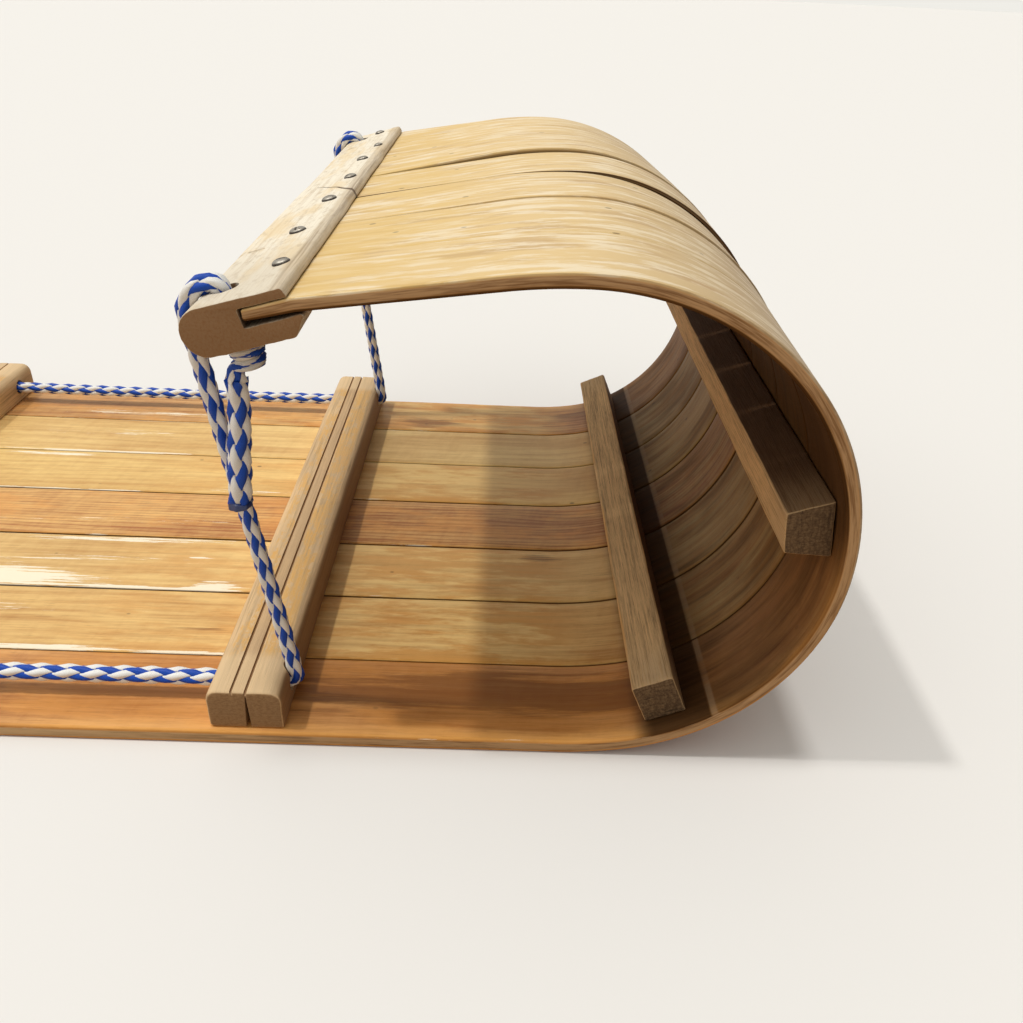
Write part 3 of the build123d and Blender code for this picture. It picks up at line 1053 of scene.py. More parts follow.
def build_crossbar(number, settings):
    """A crossbar with kerfs, worn corners and rope holes."""
    bars = settings.toboggan_bars
    rope = settings.toboggan_ropes
    name = f"crossbar_{number}"
    low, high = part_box(name)
    centre_x = (low.x + high.x) / 2
    section = crossbar_section(bars, centre_x, low.z, high.z, (high.x - low.x) / 2)
    seed = number * 3
    rings = bar_rings(section, low.y, high.y, end_round=0.0016, relief=0.00020, seed=seed, step=0.004)
    cutters = []
    for side in SIDES.values():
        start = (low.x - 0.01, side * rope.hole_y, rope.height)
        end = (high.x + 0.01, side * rope.hole_y, rope.height)
        cutters.append(cylinder_between("hole", start, end, bars.hole_radius))
        if number == 1:
            cutters.append(rope_wear(side, settings))
    if number == 1:
        # A crack in its right end
        x = centre_x + 0.0012
        foot, top = low.z - 0.001, high.z - 0.003
        crack = ((x - 0.0016, foot), (x + 0.0014, foot), (x + 0.0003, top), (x - 0.0002, top))
        cutters.append(wedge("crack", crack, low.y - 0.002, low.y + 0.010))
    mesh = cut(f"{name}_worn", ring_mesh(name, rings, 50), cutters)
    smooth(mesh, 40)
    own_axes(mesh, Matrix.Translation((centre_x, 0, 0)))
    return new_piece(f"{name}_worn", mesh, (name,))


def facing(nodes):
    """A face's normal, and how much it looks along the bar."""
    normal = nodes.add("ShaderNodeNewGeometry").outputs["Normal"]
    return normal, nodes.between(nodes.math("ABSOLUTE", nodes.parts(normal)[1]), 0.75, 0.95)


def crossbar_wood(settings):
    """Raw wood with old varnish in patches on the flat top, dark in the kerfs."""
    finishes, bars = settings.toboggan_finishes, settings.toboggan_bars
    kerf, half_kerf = bars.kerf_pitch / 2, bars.kerf_width / 2
    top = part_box("crossbar_1")[1].z
    material, nodes = new_material("Crossbar wood")
    between, times, coat = nodes.between, nodes.times, nodes.coat
    place = nodes.place()
    broad = nodes.noise(place, (40, 9, 40), 3.0, 0.55)
    grain = nodes.noise(place, (620, 15, 620), 4.0, 0.65)
    fibre = nodes.noise(place, (2600, 90, 2600), 3.0, 0.6)
    tone = nodes.layered((grain, 0.40, 0.70, 0.60), (broad, 0.35, 0.70, 0.30), (fibre, 0.52, 0.74, 0.35))
    wood = nodes.mix(tone, finishes.bar_wood, tuple(c * 0.45 for c in finishes.bar_wood))
    normal, end_on = facing(nodes)
    forward, _, upward = nodes.parts(normal)
    upward = between(upward, 0.3, 0.8)
    across, along, height = nodes.parts(nodes.attribute("own"))
    from_middle = nodes.math("ABSOLUTE", along)
    off = nodes.math("ABSOLUTE", nodes.math("SUBTRACT", across, bars.kerf_shift))

    grey = between(nodes.noise(place, (90, 26, 90), 4.0, 0.65), 0.40, 0.58)
    wood = coat(wood, linear(196, 168, 132), grey, upward, 0.5)
    patch = nodes.noise(place, (150, 62, 150), 6.0, 0.75)
    patch = nodes.math("ADD", patch, between(across, -0.004, 0.004, -0.025, 0.02))
    speckled = between(nodes.noise(place, (900, 420, 900), 3.0, 0.6), 0.54, 0.64, 1.0, 0.35)
    flat_top = between(nodes.math("ABSOLUTE", across), 0.0155, 0.0125)
    flat_top = times(flat_top, between(off, kerf, kerf + 0.0014))
    flat_top = times(flat_top, between(from_middle, 0.178, 0.166), upward)
    kept = times(between(patch, 0.45, 0.51), flat_top, speckled, 0.7)
    strip = between(off, kerf - half_kerf, kerf - half_kerf - 0.0004)
    wood = coat(wood, linear(168, 134, 98), strip, upward, 0.35)
    wood = coat(wood, finishes.amber, kept, between(grain, 0.35, 0.60, 1.0, 0.55))
    wood = coat(wood, linear(226, 198, 156), between(from_middle, 0.166, 0.176), upward, 0.5)
    in_kerf = between(off, kerf + half_kerf + 0.0005, kerf + half_kerf + 0.0002)
    in_kerf = times(in_kerf, between(height, top - 0.0005, top - 0.0013))
    in_kerf = times(in_kerf, between(height, top - 0.0059, top - 0.0039))
    wood = coat(wood, linear(136, 96, 60), in_kerf, 0.6)

    # The first crossbar's front side is darkened with painted shade
    first = between(nodes.parts(place)[0], 0.30, 0.40)
    wood = coat(wood, linear(120, 82, 48), between(forward, 0.55, 0.90, 0.0, 0.75), first)
    mottle = between(nodes.noise(place, (500, 60, 900), 5.0, 0.7), 0.35, 0.7)
    wood = coat(wood, nodes.mix(mottle, finishes.end_grain, linear(132, 100, 68)), end_on)
    relief = nodes.times_plus(grain, 0.7, times(fibre, 0.5))
    roughness = nodes.times_plus(kept, -0.2, nodes.times_plus(fibre, 0.2, 0.6))
    surface(nodes, color=wood, roughness=roughness, normal=nodes.bump(relief, 0.0004, 0.7), specular=0.3)
    return material


def plain_bar_wood(name, place_of_bar, finishes):
    """Rough grey brown wood, pale and splintery near its ends, with painted shade and dirt on its front
    side.
    """
    material, nodes = new_material(name)
    between, times, coat = nodes.between, nodes.times, nodes.coat
    own = nodes.attribute("own")
    across, along, height = nodes.parts(own)
    normal, end_on = facing(nodes)
    grain = nodes.noise(own, (1150, 26, 1150), 4.0, 0.65)
    fibre = nodes.noise(own, (2600, 120, 2600), 3.0, 0.6)
    broad = nodes.noise(own, (120, 12, 120), 3.0, 0.6)
    tone = nodes.layered((grain, 0.38, 0.68, 0.62), (fibre, 0.48, 0.70, 0.38), (broad, 0.40, 0.70, 0.25))
    wood = nodes.mix(tone, finishes.plain_wood, tuple(c * 0.36 for c in finishes.plain_wood))
    rim = between(across, -0.0088, -0.0098)
    wood = coat(wood, linear(204, 150, 84), rim, between(broad, 0.42, 0.60, 0.0, 0.7))
    near_end = between(nodes.math("ABSOLUTE", along), 0.150, 0.190)
    wood = coat(wood, linear(184, 158, 124), between(grain, 0.56, 0.44), near_end, 0.65)
    mottle = between(nodes.noise(own, (900, 100, 420), 5.0, 0.7), 0.36, 0.64)
    growth = nodes.math("SINE", nodes.times_plus(broad, 24.0, times(height, 2600.0)))
    cracks = between(nodes.noise(own, (110, 60, 1500), 3.0, 0.6), 0.60, 0.66)
    end = nodes.mix(mottle, linear(126, 102, 74), linear(88, 68, 47))
    end = coat(end, linear(64, 44, 28), between(growth, 0.2, 0.9, 0.0, 0.35))
    wood = coat(wood, coat(end, linear(44, 29, 17), cracks, 0.6), end_on)
    # The side that looks to the front is darkened with painted shade and dirt, less so at its ends
    front = place_of_bar.to_3x3() @ Vector((1, 0, 0))
    dark = between(nodes.vector("DOT_PRODUCT", normal, tuple(front), output=1), 0.75, 0.95)
    wood = coat(wood, linear(78, 46, 20), dark, nodes.times_plus(near_end, -0.30, 0.92))
    relief = nodes.times_plus(grain, 0.8, times(fibre, 0.5))
    roughness = nodes.times_plus(fibre, 0.15, 0.7)
    surface(nodes, color=wood, roughness=roughness, normal=nodes.bump(relief, 0.0005, 0.8), specular=0.25)
    return material


def nose_wood(settings):
    """Cream bleached wood on top, grey tan at the lip, brown ends and painted shade in the slot."""
    finishes, nose = settings.toboggan_finishes, settings.toboggan_nose
    material, nodes = new_material("Nose wood")
    between, times, coat = nodes.between, nodes.times, nodes.coat
    place = nodes.place()
    u, along, v = nodes.parts(nodes.attribute("own"))
    streaks = nodes.noise(place, (500, 10, 500), 5.0, 0.65)
    thin = nodes.noise(place, (1700, 30, 1700), 4.0, 0.65)
    clouds = nodes.noise(place, (60, 22, 60), 3.0, 0.6)
    mottled = nodes.noise(place, (260, 120, 260), 5.0, 0.7)
    wood = finishes.nose_wood
    for pattern, low, high, most, tint in (
        (streaks, 0.46, 0.70, 0.42, (192, 168, 136)),
        (thin, 0.54, 0.72, 0.35, (160, 134, 104)),
        (clouds, 0.46, 0.66, 0.55, (222, 194, 142)),
        (mottled, 0.50, 0.66, 0.50, (186, 168, 142)),
        (along, -0.10, -0.185, 0.45, (190, 178, 158)),
    ):
        wood = coat(wood, linear(*tint), between(pattern, low, high, 0.0, most))
    # Grey tan front edge and underside
    lip = nodes.math("MAXIMUM", between(v, 0.0088, 0.0070), times(between(u, 0.0275, 0.0310), 0.8))
    tan = nodes.mix(between(streaks, 0.42, 0.66), linear(196, 178, 150), linear(142, 122, 98))
    wood = coat(wood, tan, lip, 0.85)
    # The crack, widest at the lip
    lines = []
    for (y, u_at), (y_end, u_end) in zip(CRACK, CRACK[1:]):
        slope = (u_end - u_at) / (y_end - y)
        lines.append(nodes.times_plus(along, slope, u_at - slope * y))
    off = nodes.math("ABSOLUTE", nodes.math("SUBTRACT", u, nodes.math("MINIMUM", *lines)))
    crack = nodes.math("GREATER_THAN", between(u, 0.005, 0.040, 0.0006, 0.0013), off)
    wood = coat(wood, linear(74, 52, 34), crack, between(along, 0.010, 0.008), 0.8)
    # The slot's walls, darkened with painted shade
    high = nose.round_radius - nose.upper_jaw
    low = high - nose.slot_height
    slot = times(between(v, high + 0.0004, high - 0.0004), between(v, low - 0.0005, low + 0.0003))
    slot = times(slot, between(u, nose.slot_floor - 0.0006, nose.slot_floor - 0.0001))
    wood = coat(wood, linear(84, 58, 36), slot, 0.85)
    pores = between(nodes.noise(place, (900, 300, 900), 3.0, 0.6), 0.4, 0.7, 0.0, 0.6)
    wood = coat(wood, nodes.mix(pores, finishes.nose_end, linear(138, 98, 62)), facing(nodes)[1])
    relief = nodes.times_plus(streaks, 0.8, times(thin, 0.6))
    roughness = nodes.times_plus(thin, 0.2, 0.62)
    surface(nodes, color=wood, roughness=roughness, normal=nodes.bump(relief, 0.00045, 0.7), specular=0.3)
    return material


def seat_on_curl(slats, turned, upward, width, seat):
    """Where a plain bar bridges the inside of the curl, its own Z into the hollow."""
    rise = slats.curl_height - slats.top_thickness - slats.curl_front_height
    radius = bend_radii(rise, slats.top_setback - slats.front_thickness, slats.shoulder_turn)[0]
    if not upward:
        rise = slats.curl_front_height - slats.thickness
        radius = bend_radii(rise, slats.curl_run - slats.front_thickness, slats.front_turn)[0]
    side = 1 if upward else -1
    reach = math.sqrt(radius**2 - width**2 / 4) - seat
    x = CAD_HIGH.x - slats.front_thickness - radius + reach * math.cos(turned)
    z = slats.curl_front_height + side * reach * math.sin(turned)
    angle = -math.pi / 2 - side * turned
    return Matrix.Translation((x, 0, z)) @ Matrix.Rotation(angle, 4, "Y")


def build_plain_bar(name, place, width, face, height, seed):
    """A plain weathered bar across the curl."""
    low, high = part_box(name)
    corners = (
        (-width / 2, 0, 0.0008),
        (width / 2, 0, 0.0008),
        (face / 2, height, 0.0016),
        (-face / 2, height, 0.0016),
    )
    section = divided(rounded(corners, 3), 0.0022)
    rings = bar_rings(section, low.y, high.y, end_round=0.0010, relief=0.00024, seed=seed, step=0.003)
    mesh = ring_mesh(f"{name}_worn", moved(rings, place), 50)
    own_axes(mesh, place)
    return new_piece(f"{name}_worn", mesh, (name,))


# Hollows worn into the nose bar's flat top
# y, u, half length, half breadth, depth
DENTS = (
    (0.040, -0.0050, 0.0300, 0.0040, 0.0006),
    (-0.070, 0.0340, 0.0200, 0.0040, 0.0007),
    (0.075, 0.0350, 0.0120, 0.0030, 0.0008),
)


# Round hollows cut across the nose bar's top and back edge: both ends (y, u, v), radius
SCOOPS = (
    (-0.1274, 0.0004, 0.0106, -0.1240, 0.0082, 0.0106, 0.0018),
    (-0.1262, -0.0010, 0.0134, -0.1270, -0.0130, 0.0076, 0.0046),
    (0.1396, -0.0010, 0.0132, 0.1390, -0.0130, 0.0074, 0.0046),
    (0.1424, 0.0012, 0.0106, 0.1450, 0.0072, 0.0106, 0.0016),
)


# The crack across the nose bar's top, as (y, u)
CRACK = ((0.0090, 0.0070), (-0.0095, 0.0226), (-0.0325, 0.0370))


def nose_section(nose):
    """The nose bar's section (u, v) with its slot, anticlockwise from the bottom."""
    radius = nose.round_radius
    slot_top = radius - nose.upper_jaw
    mouth = nose.slot_floor + nose.slot_depth
    lip = mouth + nose.overhang
    corners = [
        (0.0, -radius, 0),
        (lip - nose.bevel, -radius, 0.0025),
        (lip, slot_top - nose.lip_height, 0.0013),
        (nose.slot_floor, slot_top - nose.slot_height, 0.0004),
        (nose.slot_floor, slot_top, 0.0004),
        (mouth, slot_top, 0.0010),
        (mouth - nose.chamfer, radius, 0.0020),
        (0.0, radius, 0),
    ]
    for k in range(1, 16):
        angle = math.pi / 2 + math.pi * k / 16
        corners.append((radius * math.cos(angle), radius * math.sin(angle), 0))
    return divided(rounded(corners, 4), 0.0016)


def nose_place(nose):
    """Where the nose bar's own axes lie."""
    x, z = nose_point(nose, 0, 0)
    return Matrix.Translation((x, 0, z)) @ Matrix.Rotation(-nose.tilt, 4, "Y")


def build_nose_bar(settings):
    """The slotted bar, worn soft, with its rope holes and grooves and its crack."""
    nose = settings.toboggan_nose
    low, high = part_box("nose_bar")
    worn = {"end_round": 0.0005, "relief": 0.00030, "seed": 71, "step": nose.step, "slotted": True}
    rings = bar_rings(nose_section(nose), low.y, high.y, **worn)
    u, y, v = rings[:, :, 0], rings[:, :, 1], rings[:, :, 2]
    on_top = np.clip((v - 0.002) / (nose.round_radius - 0.002), 0, 1)
    for y_at, u_at, length, breadth, depth in DENTS:
        spot = np.exp(-(((y - y_at) / length) ** 2) - ((u - u_at) / breadth) ** 2)
        v -= depth * spot * on_top
    # The far front corner of the upper jaw has broken off round
    radius = 0.005
    past = np.clip(y - (high.y - radius), 0, radius)
    limit = nose.slot_floor + nose.slot_depth - radius + np.sqrt(radius**2 - past**2)
    u[:] = np.where(v > 0.0045, np.minimum(u, np.maximum(limit, u.min())), u)
    place = nose_place(nose)
    cutters = []
    for side in SIDES.values():
        y_at = side * settings.toboggan_ropes.nose_y
        ends = [place @ Vector((nose.hole_u, y_at, end)) for end in (-0.02, 0.02)]
        cutters.append(cylinder_between("hole", *ends, nose.hole_radius))
        cutters.append(rope_wear(side, settings))
    for *ends, radius in SCOOPS:
        places = [place @ Vector((u_at, y_at, v_at)) for y_at, u_at, v_at in (ends[:3], ends[3:])]
        cutters.append(cylinder_between("scoop", *places, radius))
    for start, end in zip(CRACK, CRACK[1:]):
        ends = [place @ Vector((u_at, y_at, nose.round_radius)) for y_at, u_at in (start, end)]
        cutters.append(cylinder_between("crack", *ends, 0.0007, 4))
    mesh = cut("nose_bar_worn", ring_mesh("nose_bar", moved(rings, place), 50), cutters)
    smooth(mesh, 45)
    own_axes(mesh, place)
    return new_piece("nose_bar_worn", mesh, ("nose_bar",))


# Ropes


def new_tree(name, sockets, result):
    """A Geometry Nodes tree, the maker of its nodes and its named inputs."""
    tree = bpy.data.node_groups.new(name, "GeometryNodeTree")
    for socket, kind in sockets.items():
        tree.interface.new_socket(socket, in_out="INPUT", socket_type=f"NodeSocket{kind}")
    tree.interface.new_socket(result, in_out="OUTPUT", socket_type="NodeSocketGeometry")
    nodes = NodeMaker(tree)
    return tree, nodes, nodes.add("NodeGroupInput").outputs


def run_tree(name, mesh, tree, inputs):
    """The mesh that a Geometry Nodes tree makes from another."""
    source = loose_object(name, mesh)
    modifier = source.modifiers.new("Nodes", "NODES")
    modifier.node_group = tree
    for item in tree.interface.items_tree:
        if item.in_out == "INPUT" and item.name in inputs:
            modifier[item.identifier] = inputs[item.name]
    made = finished_mesh(source)
    source.modifiers.clear()
    bpy.data.objects.remove(source)
    made.name = name
    return made


def braid_tree():
    """Geometry Nodes that braid eight flat strands, one over and one under, round a line."""
    sockets = {
        "Line": "Geometry",
        "Diameter": "Float",
        "Patch Pitch": "Float",
        "Strand Thickness": "Float",
        "Weave": "Float",
        "White Proud": "Float",
        "Start Turn": "Float",
        "Rings": "Int",
        "Strand Sides": "Int",
        "Blue": "Material",
        "White": "Material",
        "Core": "Material",
    }
    tree, nodes, given = new_tree("Diamond braid", sockets, "Rope")
    out, times = nodes.out, nodes.times
    line = out("GeometryNodeMeshToCurve", {"Mesh": given["Line"]})
    girth = nodes.named("girth", "FLOAT")
    length = out("GeometryNodeCurveLength", {"Curve": line})

    # Eight straight strands along X, which remember their number, run and section
    straight = out("GeometryNodeCurvePrimitiveLine", {"End": out("ShaderNodeCombineXYZ", {0: length})})
    straight = out("GeometryNodeResampleCurve", {"Curve": straight, "Count": given["Rings"]})
    inputs = {"Geometry": straight, "Amount": 8}
    eight = nodes.add("GeometryNodeDuplicateElements", inputs, domain="SPLINE").outputs
    run = nodes.add("GeometryNodeSplineParameter").outputs["Length"]
    fields = (("FLOAT", eight["Duplicate Index"]), ("FLOAT", run))
    strands, index, run = nodes.keep(eight["Geometry"], fields)
    ring = out("GeometryNodeCurvePrimitiveCircle", {"Resolution": given["Strand Sides"], "Radius": 1.0})
    ring, section = nodes.keep(ring, (("VECTOR", out("GeometryNodeInputPosition")),))
    inputs = {"Curve": strands, "Profile Curve": ring, "Fill Caps": True}
    tubes = out("GeometryNodeCurveToMesh", inputs)

    # Across and run give the place round the rope, the length along it and the weave
    family = nodes.math("MODULO", index, 2.0)
    sign = nodes.times_plus(family, -2.0, 1.0)
    quarter = nodes.math("FLOOR", times(index, 0.5))
    side, height, _ = nodes.parts(section)
    across = times(side, math.pi / 4)
    pitches = nodes.math("DIVIDE", run, given["Patch Pitch"])
    swing = nodes.times_plus(pitches, math.pi / 2, times(across, 0.5))
    angle = nodes.times_plus(quarter, math.pi / 2, times(swing, sign))
    angle = nodes.math("ADD", angle, given["Start Turn"])
    back = times(nodes.math("DIVIDE", across, math.pi), given["Patch Pitch"])
    along = nodes.math("MAXIMUM", nodes.math("SUBTRACT", run, back), 0.0)
    along = nodes.math("MINIMUM", along, length)
    wave = nodes.math("COSINE", times(pitches, 2 * math.pi))
    wave = times(wave, nodes.math("COSINE", times(across, 2.0)), sign, given["Weave"])
    top = nodes.math("SUBTRACT", times(given["Diameter"], 0.5), given["Weave"])
    top = nodes.math("ADD", top, times(family, given["White Proud"]))
    top = nodes.math("ADD", top, wave)
    sunk = times(nodes.math("SUBTRACT", height, 1.0), 0.5)
    radius = nodes.times_plus(sunk, given["Strand Thickness"], top)

    inputs = {"Curves": line, "Value": girth, "Length": along}
    settings = {"mode": "LENGTH", "data_type": "FLOAT", "use_all_curves": True}
    there = nodes.add("GeometryNodeSampleCurve", inputs, **settings).outputs
    radius = times(radius, there["Value"])
    binormal = nodes.vector("CROSS_PRODUCT", there["Tangent"], there["Normal"])
    outward = nodes.vector(
        "ADD",
        nodes.scaled(there["Normal"], nodes.math("COSINE", angle)),
        nodes.scaled(binormal, nodes.math("SINE", angle)),
    )
    place = nodes.vector("ADD", there["Position"], nodes.scaled(outward, radius))
    tubes = out("GeometryNodeSetPosition", {"Geometry": tubes, "Position": place})
    strand = out("ShaderNodeCombineXYZ", {0: run, 1: side, 2: index})
    inputs = {"Geometry": tubes, "Name": "strand", "Value": strand}
    tubes = out("GeometryNodeStoreNamedAttribute", inputs, data_type="FLOAT_VECTOR", domain="POINT")
    tubes = out("GeometryNodeSetMaterial", {"Geometry": tubes, "Material": given["Blue"]})
    is_white = nodes.math("GREATER_THAN", family, 0.5)
    inputs = {"Geometry": tubes, "Selection": is_white, "Material": given["White"]}
    tubes = out("GeometryNodeSetMaterial", inputs)

    radius = times(given["Diameter"], 0.29)
    ring = out("GeometryNodeCurvePrimitiveCircle", {"Resolution": 10, "Radius": radius})
    inputs = {"Curve": line, "Profile Curve": ring, "Scale": girth, "Fill Caps": True}
    core = out("GeometryNodeCurveToMesh", inputs)
    core = out("GeometryNodeSetMaterial", {"Geometry": core, "Material": given["Core"]})

    join = nodes.add("GeometryNodeJoinGeometry")
    for part in (core, tubes):
        tree.links.new(part, join.inputs[0])
    real = out("GeometryNodeRealizeInstances", {"Geometry": join.outputs[0]})
    done = out("GeometryNodeSetShadeSmooth", {"Geometry": real, "Shade Smooth": True})
    nodes.add("NodeGroupOutput", {0: done})
    return tree


def braided(name, line, girth, settings, start_turn=0.0):
    """Eight strands braided round a line of points."""
    rope = settings.toboggan_ropes
    mesh = bpy.data.meshes.new(f"{name}_line")
    mesh.from_pydata(line.tolist(), [(k, k + 1) for k in range(len(line) - 1)], [])
    values = mesh.attributes.new("girth", "FLOAT", "POINT")
    values.data.foreach_set("value", np.asarray(girth, np.float32))
    tree = bpy.data.node_groups.get("Diamond braid") or braid_tree()
    materials = bpy.data.materials
    inputs = {
        "Diameter": rope.diameter,
        "Patch Pitch": rope.patch_pitch,
        "Strand Thickness": rope.strand_thickness,
        "Weave": rope.weave,
        "White Proud": rope.white_proud,
        "Start Turn": start_turn,
        "Rings": round(float(run_length(line)[-1]) / rope.step),
        "Strand Sides": rope.strand_sides,
        "Blue": materials["Blue strands"],
        "White": materials["White strands"],
        "Core": materials["Rope core"],
    }
    made = run_tree(name, mesh, tree, inputs)
    face_out(made)
    return made


def strand_plastic(name, tone, darker):
    """Glossy filaments that run along a strand."""
    _, nodes = new_material(name)
    strand = nodes.attribute("strand")
    filaments = nodes.noise(strand, (25, 2600, 2600), 2.0, 0.5)
    dust = nodes.noise(strand, (120, 400, 400), 3.0, 0.6)
    plastic = nodes.coat(tone, darker, nodes.between(filaments, 0.35, 0.7))
    plastic = nodes.coat(plastic, linear(120, 110, 96), nodes.between(dust, 0.55, 0.8, 0.0, 0.16))
    normal = nodes.bump(filaments, 0.00012, 0.6)
    surface(nodes, color=plastic, roughness=0.40, normal=normal, specular=0.28)


def rope_materials(finishes):
    """The blue and white strands, the dark core and the melted ends."""
    strand_plastic("Blue strands", finishes.blue, linear(6, 42, 126))
    strand_plastic("White strands", finishes.white, linear(214, 213, 208))
    for name, fineness, dark, light, roughness in (
        ("Rope core", 300, (24, 34, 66), (52, 56, 72), 0.8),
        ("Melted rope", 700, (18, 38, 92), (46, 62, 110), 0.35),
    ):
        _, nodes = new_material(name)
        shade = nodes.noise(nodes.place(), (fineness, fineness, fineness))
        surface(nodes, color=nodes.mix(shade, linear(*dark), linear(*light)), roughness=roughness)


# Free end of a rope below the nose bar: back, outward, down from the knot's foot
ROPE_TAIL = (
    (0.0030, 0.0035, 0.0),
    (0.0030, 0.0035, 0.014),
    (0.0048, 0.0070, 0.033),
    (0.0066, 0.0083, 0.0569),
)
KNOT_FOOT = (0.5130, 0.182, 0.193)

# The knot under the nose bar: from its foot to its middle line, and where the rope enters
KNOT_FORWARD, KNOT_OUTWARD = 0.0022, 0.001
KNOT_ENTRY = (0.5120, 0.2125)

# Two turns of each knot: from angle, to angle, radius, start, end, points. The tail's
# start and end lie behind the last crossbar, and the nose's are heights
TAIL_TURNS = (-60, 640, 0.0052, 0.0165, 0.0060, 16)
NOSE_TURNS = (800, 207, 0.0054, 0.2069, 0.1987, 14)

# A side rope's stub behind its tail knot: back from the last crossbar, up
STUB = ((0.0225, -0.001), (0.0195, 0.0))

# Straight in a crossbar over this length, and level this far before and after it
IN_BAR, BY_BAR = 0.030, 0.004

# Each side of the bend in front of the first crossbar
ELBOW = 0.009

# Sag of a side rope between two crossbars, from the last to the first
SAGS = (0.0010, 0.0016, 0.0012, 0.0008)

# Between two points of a rope's line
LINE_STEP = 0.0008


def tail_points(side):
    """The route of a rope's free end."""
    x, y, z = KNOT_FOOT
    return [(x - back, side * (y + outward), z - down) for back, outward, down in ROPE_TAIL]


def turns(first, last, radius, start, end, steps):
    """Points of a knot's turns round an upright line, from one angle in degrees to another."""
    points = []
    for k in range(steps + 1):
        angle = math.radians(first + (last - first) * k / steps)
        height = start + (end - start) * k / steps
        points.append((radius * math.cos(angle), radius * math.sin(angle), height))
    return points


def rope_line(side, settings):
    """Centre line of a side rope with both its knots, and its girth at each point."""
    rope, nose = settings.toboggan_ropes, settings.toboggan_nose
    first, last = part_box("crossbar_1")[1].x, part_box(f"crossbar_{CROSSBAR_COUNT}")[0].x
    y, z = side * rope.hole_y, rope.height
    # A stub, then two turns behind the last crossbar
    points = [(last - back, y, z + up) for back, up in STUB]
    points += [(last - back, y + side * b, z + a) for a, b, back in turns(*TAIL_TURNS)]
    in_bar = (last - 0.002, y, z)
    points.append(in_bar)
    # Through the crossbars, with a little sag between them
    for number, sag in zip(range(CROSSBAR_COUNT, 1, -1), SAGS):
        back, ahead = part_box(f"crossbar_{number}")[1].x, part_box(f"crossbar_{number - 1}")[0].x
        points += [(back - IN_BAR, y, z), (back + BY_BAR, y, z - sag * 0.1)]
        points += [((back + ahead) / 2, y, z - sag), (ahead - BY_BAR, y, z - sag * 0.1)]
    # Up from the first crossbar
    exit_x = first + rope.exit_reach
    nose_y = side * rope.nose_y
    nose_x, nose_z = nose_point(nose, 0, 0)
    over = nose.round_radius + rope.diameter / 2 - nose.groove
    rise = math.hypot(nose_x - exit_x, nose_z - z)
    lean = math.atan2(nose_x - exit_x, nose_z - z) - math.asin(over / rise)
    elbow = np.array((exit_x, y, z))
    start_turn = math.pi - lean
    beside = (over * math.cos(start_turn), 0, over * math.sin(start_turn))
    over_start = np.array((nose_x, nose_y, nose_z)) + beside
    up = (over_start - elbow) / np.linalg.norm(over_start - elbow)
    points += [(exit_x - ELBOW, y, z), tuple(elbow), tuple(elbow + up * ELBOW)]
    # Over the nose bar's round edge and down its hole
    wrap = start_turn - math.pi / 2 - nose.tilt
    corner = over / math.cos(wrap / 4)
    points.append(tuple(over_start - up * over * math.tan(wrap / 4)))
    for part in (0.25, 0.75):
        angle = start_turn - part * wrap
        points.append((nose_x + corner * math.cos(angle), nose_y, nose_z + corner * math.sin(angle)))
    hole_x, hole_z = nose_point(nose, nose.hole_u, over)
    points.append((hole_x, nose_y, hole_z))
    # Two turns under the nose bar
    knot_x, knot_y = KNOT_FOOT[0] + KNOT_FORWARD, side * (KNOT_FOOT[1] + KNOT_OUTWARD)
    points.append((KNOT_ENTRY[0], nose_y, KNOT_ENTRY[1]))
    for a, b, height in turns(*NOSE_TURNS):
        points.append((knot_x + a, knot_y - side * b, height))
    foot = tail_points(side)[0]
    points += [(foot[0], foot[1], foot[2] + 0.001), (foot[0], foot[1], foot[2] - 0.001)]

    line = nurbs_points(points, "side_rope_route")
    line = resampled(line, round(run_length(line)[-1] / LINE_STEP))
    run = run_length(line)

    def run_at(place):
        return run[np.argmin(np.linalg.norm(line - np.array(place), axis=1))]

    start, turn_at, hole_at = run_at(in_bar), run_at(elbow), run_at((hole_x, nose_y, hole_z))
    girths = (
        (0, rope.knot_girth),
        (start - 0.002, rope.knot_girth),
        (start + 0.012, 1.0),
        (turn_at - 0.012, 1.0),
        (turn_at, 0.85),
        (turn_at + 0.012, 0.95),
        (turn_at + 0.05, rope.taut_girth),
        (hole_at - 0.03, rope.taut_girth),
        (hole_at, 0.92),
        (hole_at + 0.012, rope.knot_girth),
        (run[-1] - 0.008, rope.knot_girth),
        (run[-1], rope.free_girth),
    )
    return line, np.interp(run, *zip(*girths))


def nurbs_points(points, name):
    """The smooth line of a rope whose control points are given."""
    data = bpy.data.curves.new(name, "CURVE")
    data.dimensions = "3D"
    data.resolution_u = 24
    spline = data.splines.new("NURBS")
    spline.points.add(len(points) - 1)
    for point, place in zip(spline.points, points):
        point.co = (*place, 1.0)
    spline.order_u = 3
    spline.use_endpoint_u = True
    route = loose_object(name, data)
    mesh = finished_mesh(route)
    line = coordinates(mesh)
    bpy.data.objects.remove(route)
    bpy.data.meshes.remove(mesh)
    return line


# A melted rope end's rings: share of the rope's radius, height over the cut
MELTED = ((0.82, -0.0016), (1.0, -0.0010), (1.04, 0.0), (0.98, 0.0006), (0.86, 0.0007), (0.5, 0.0004))


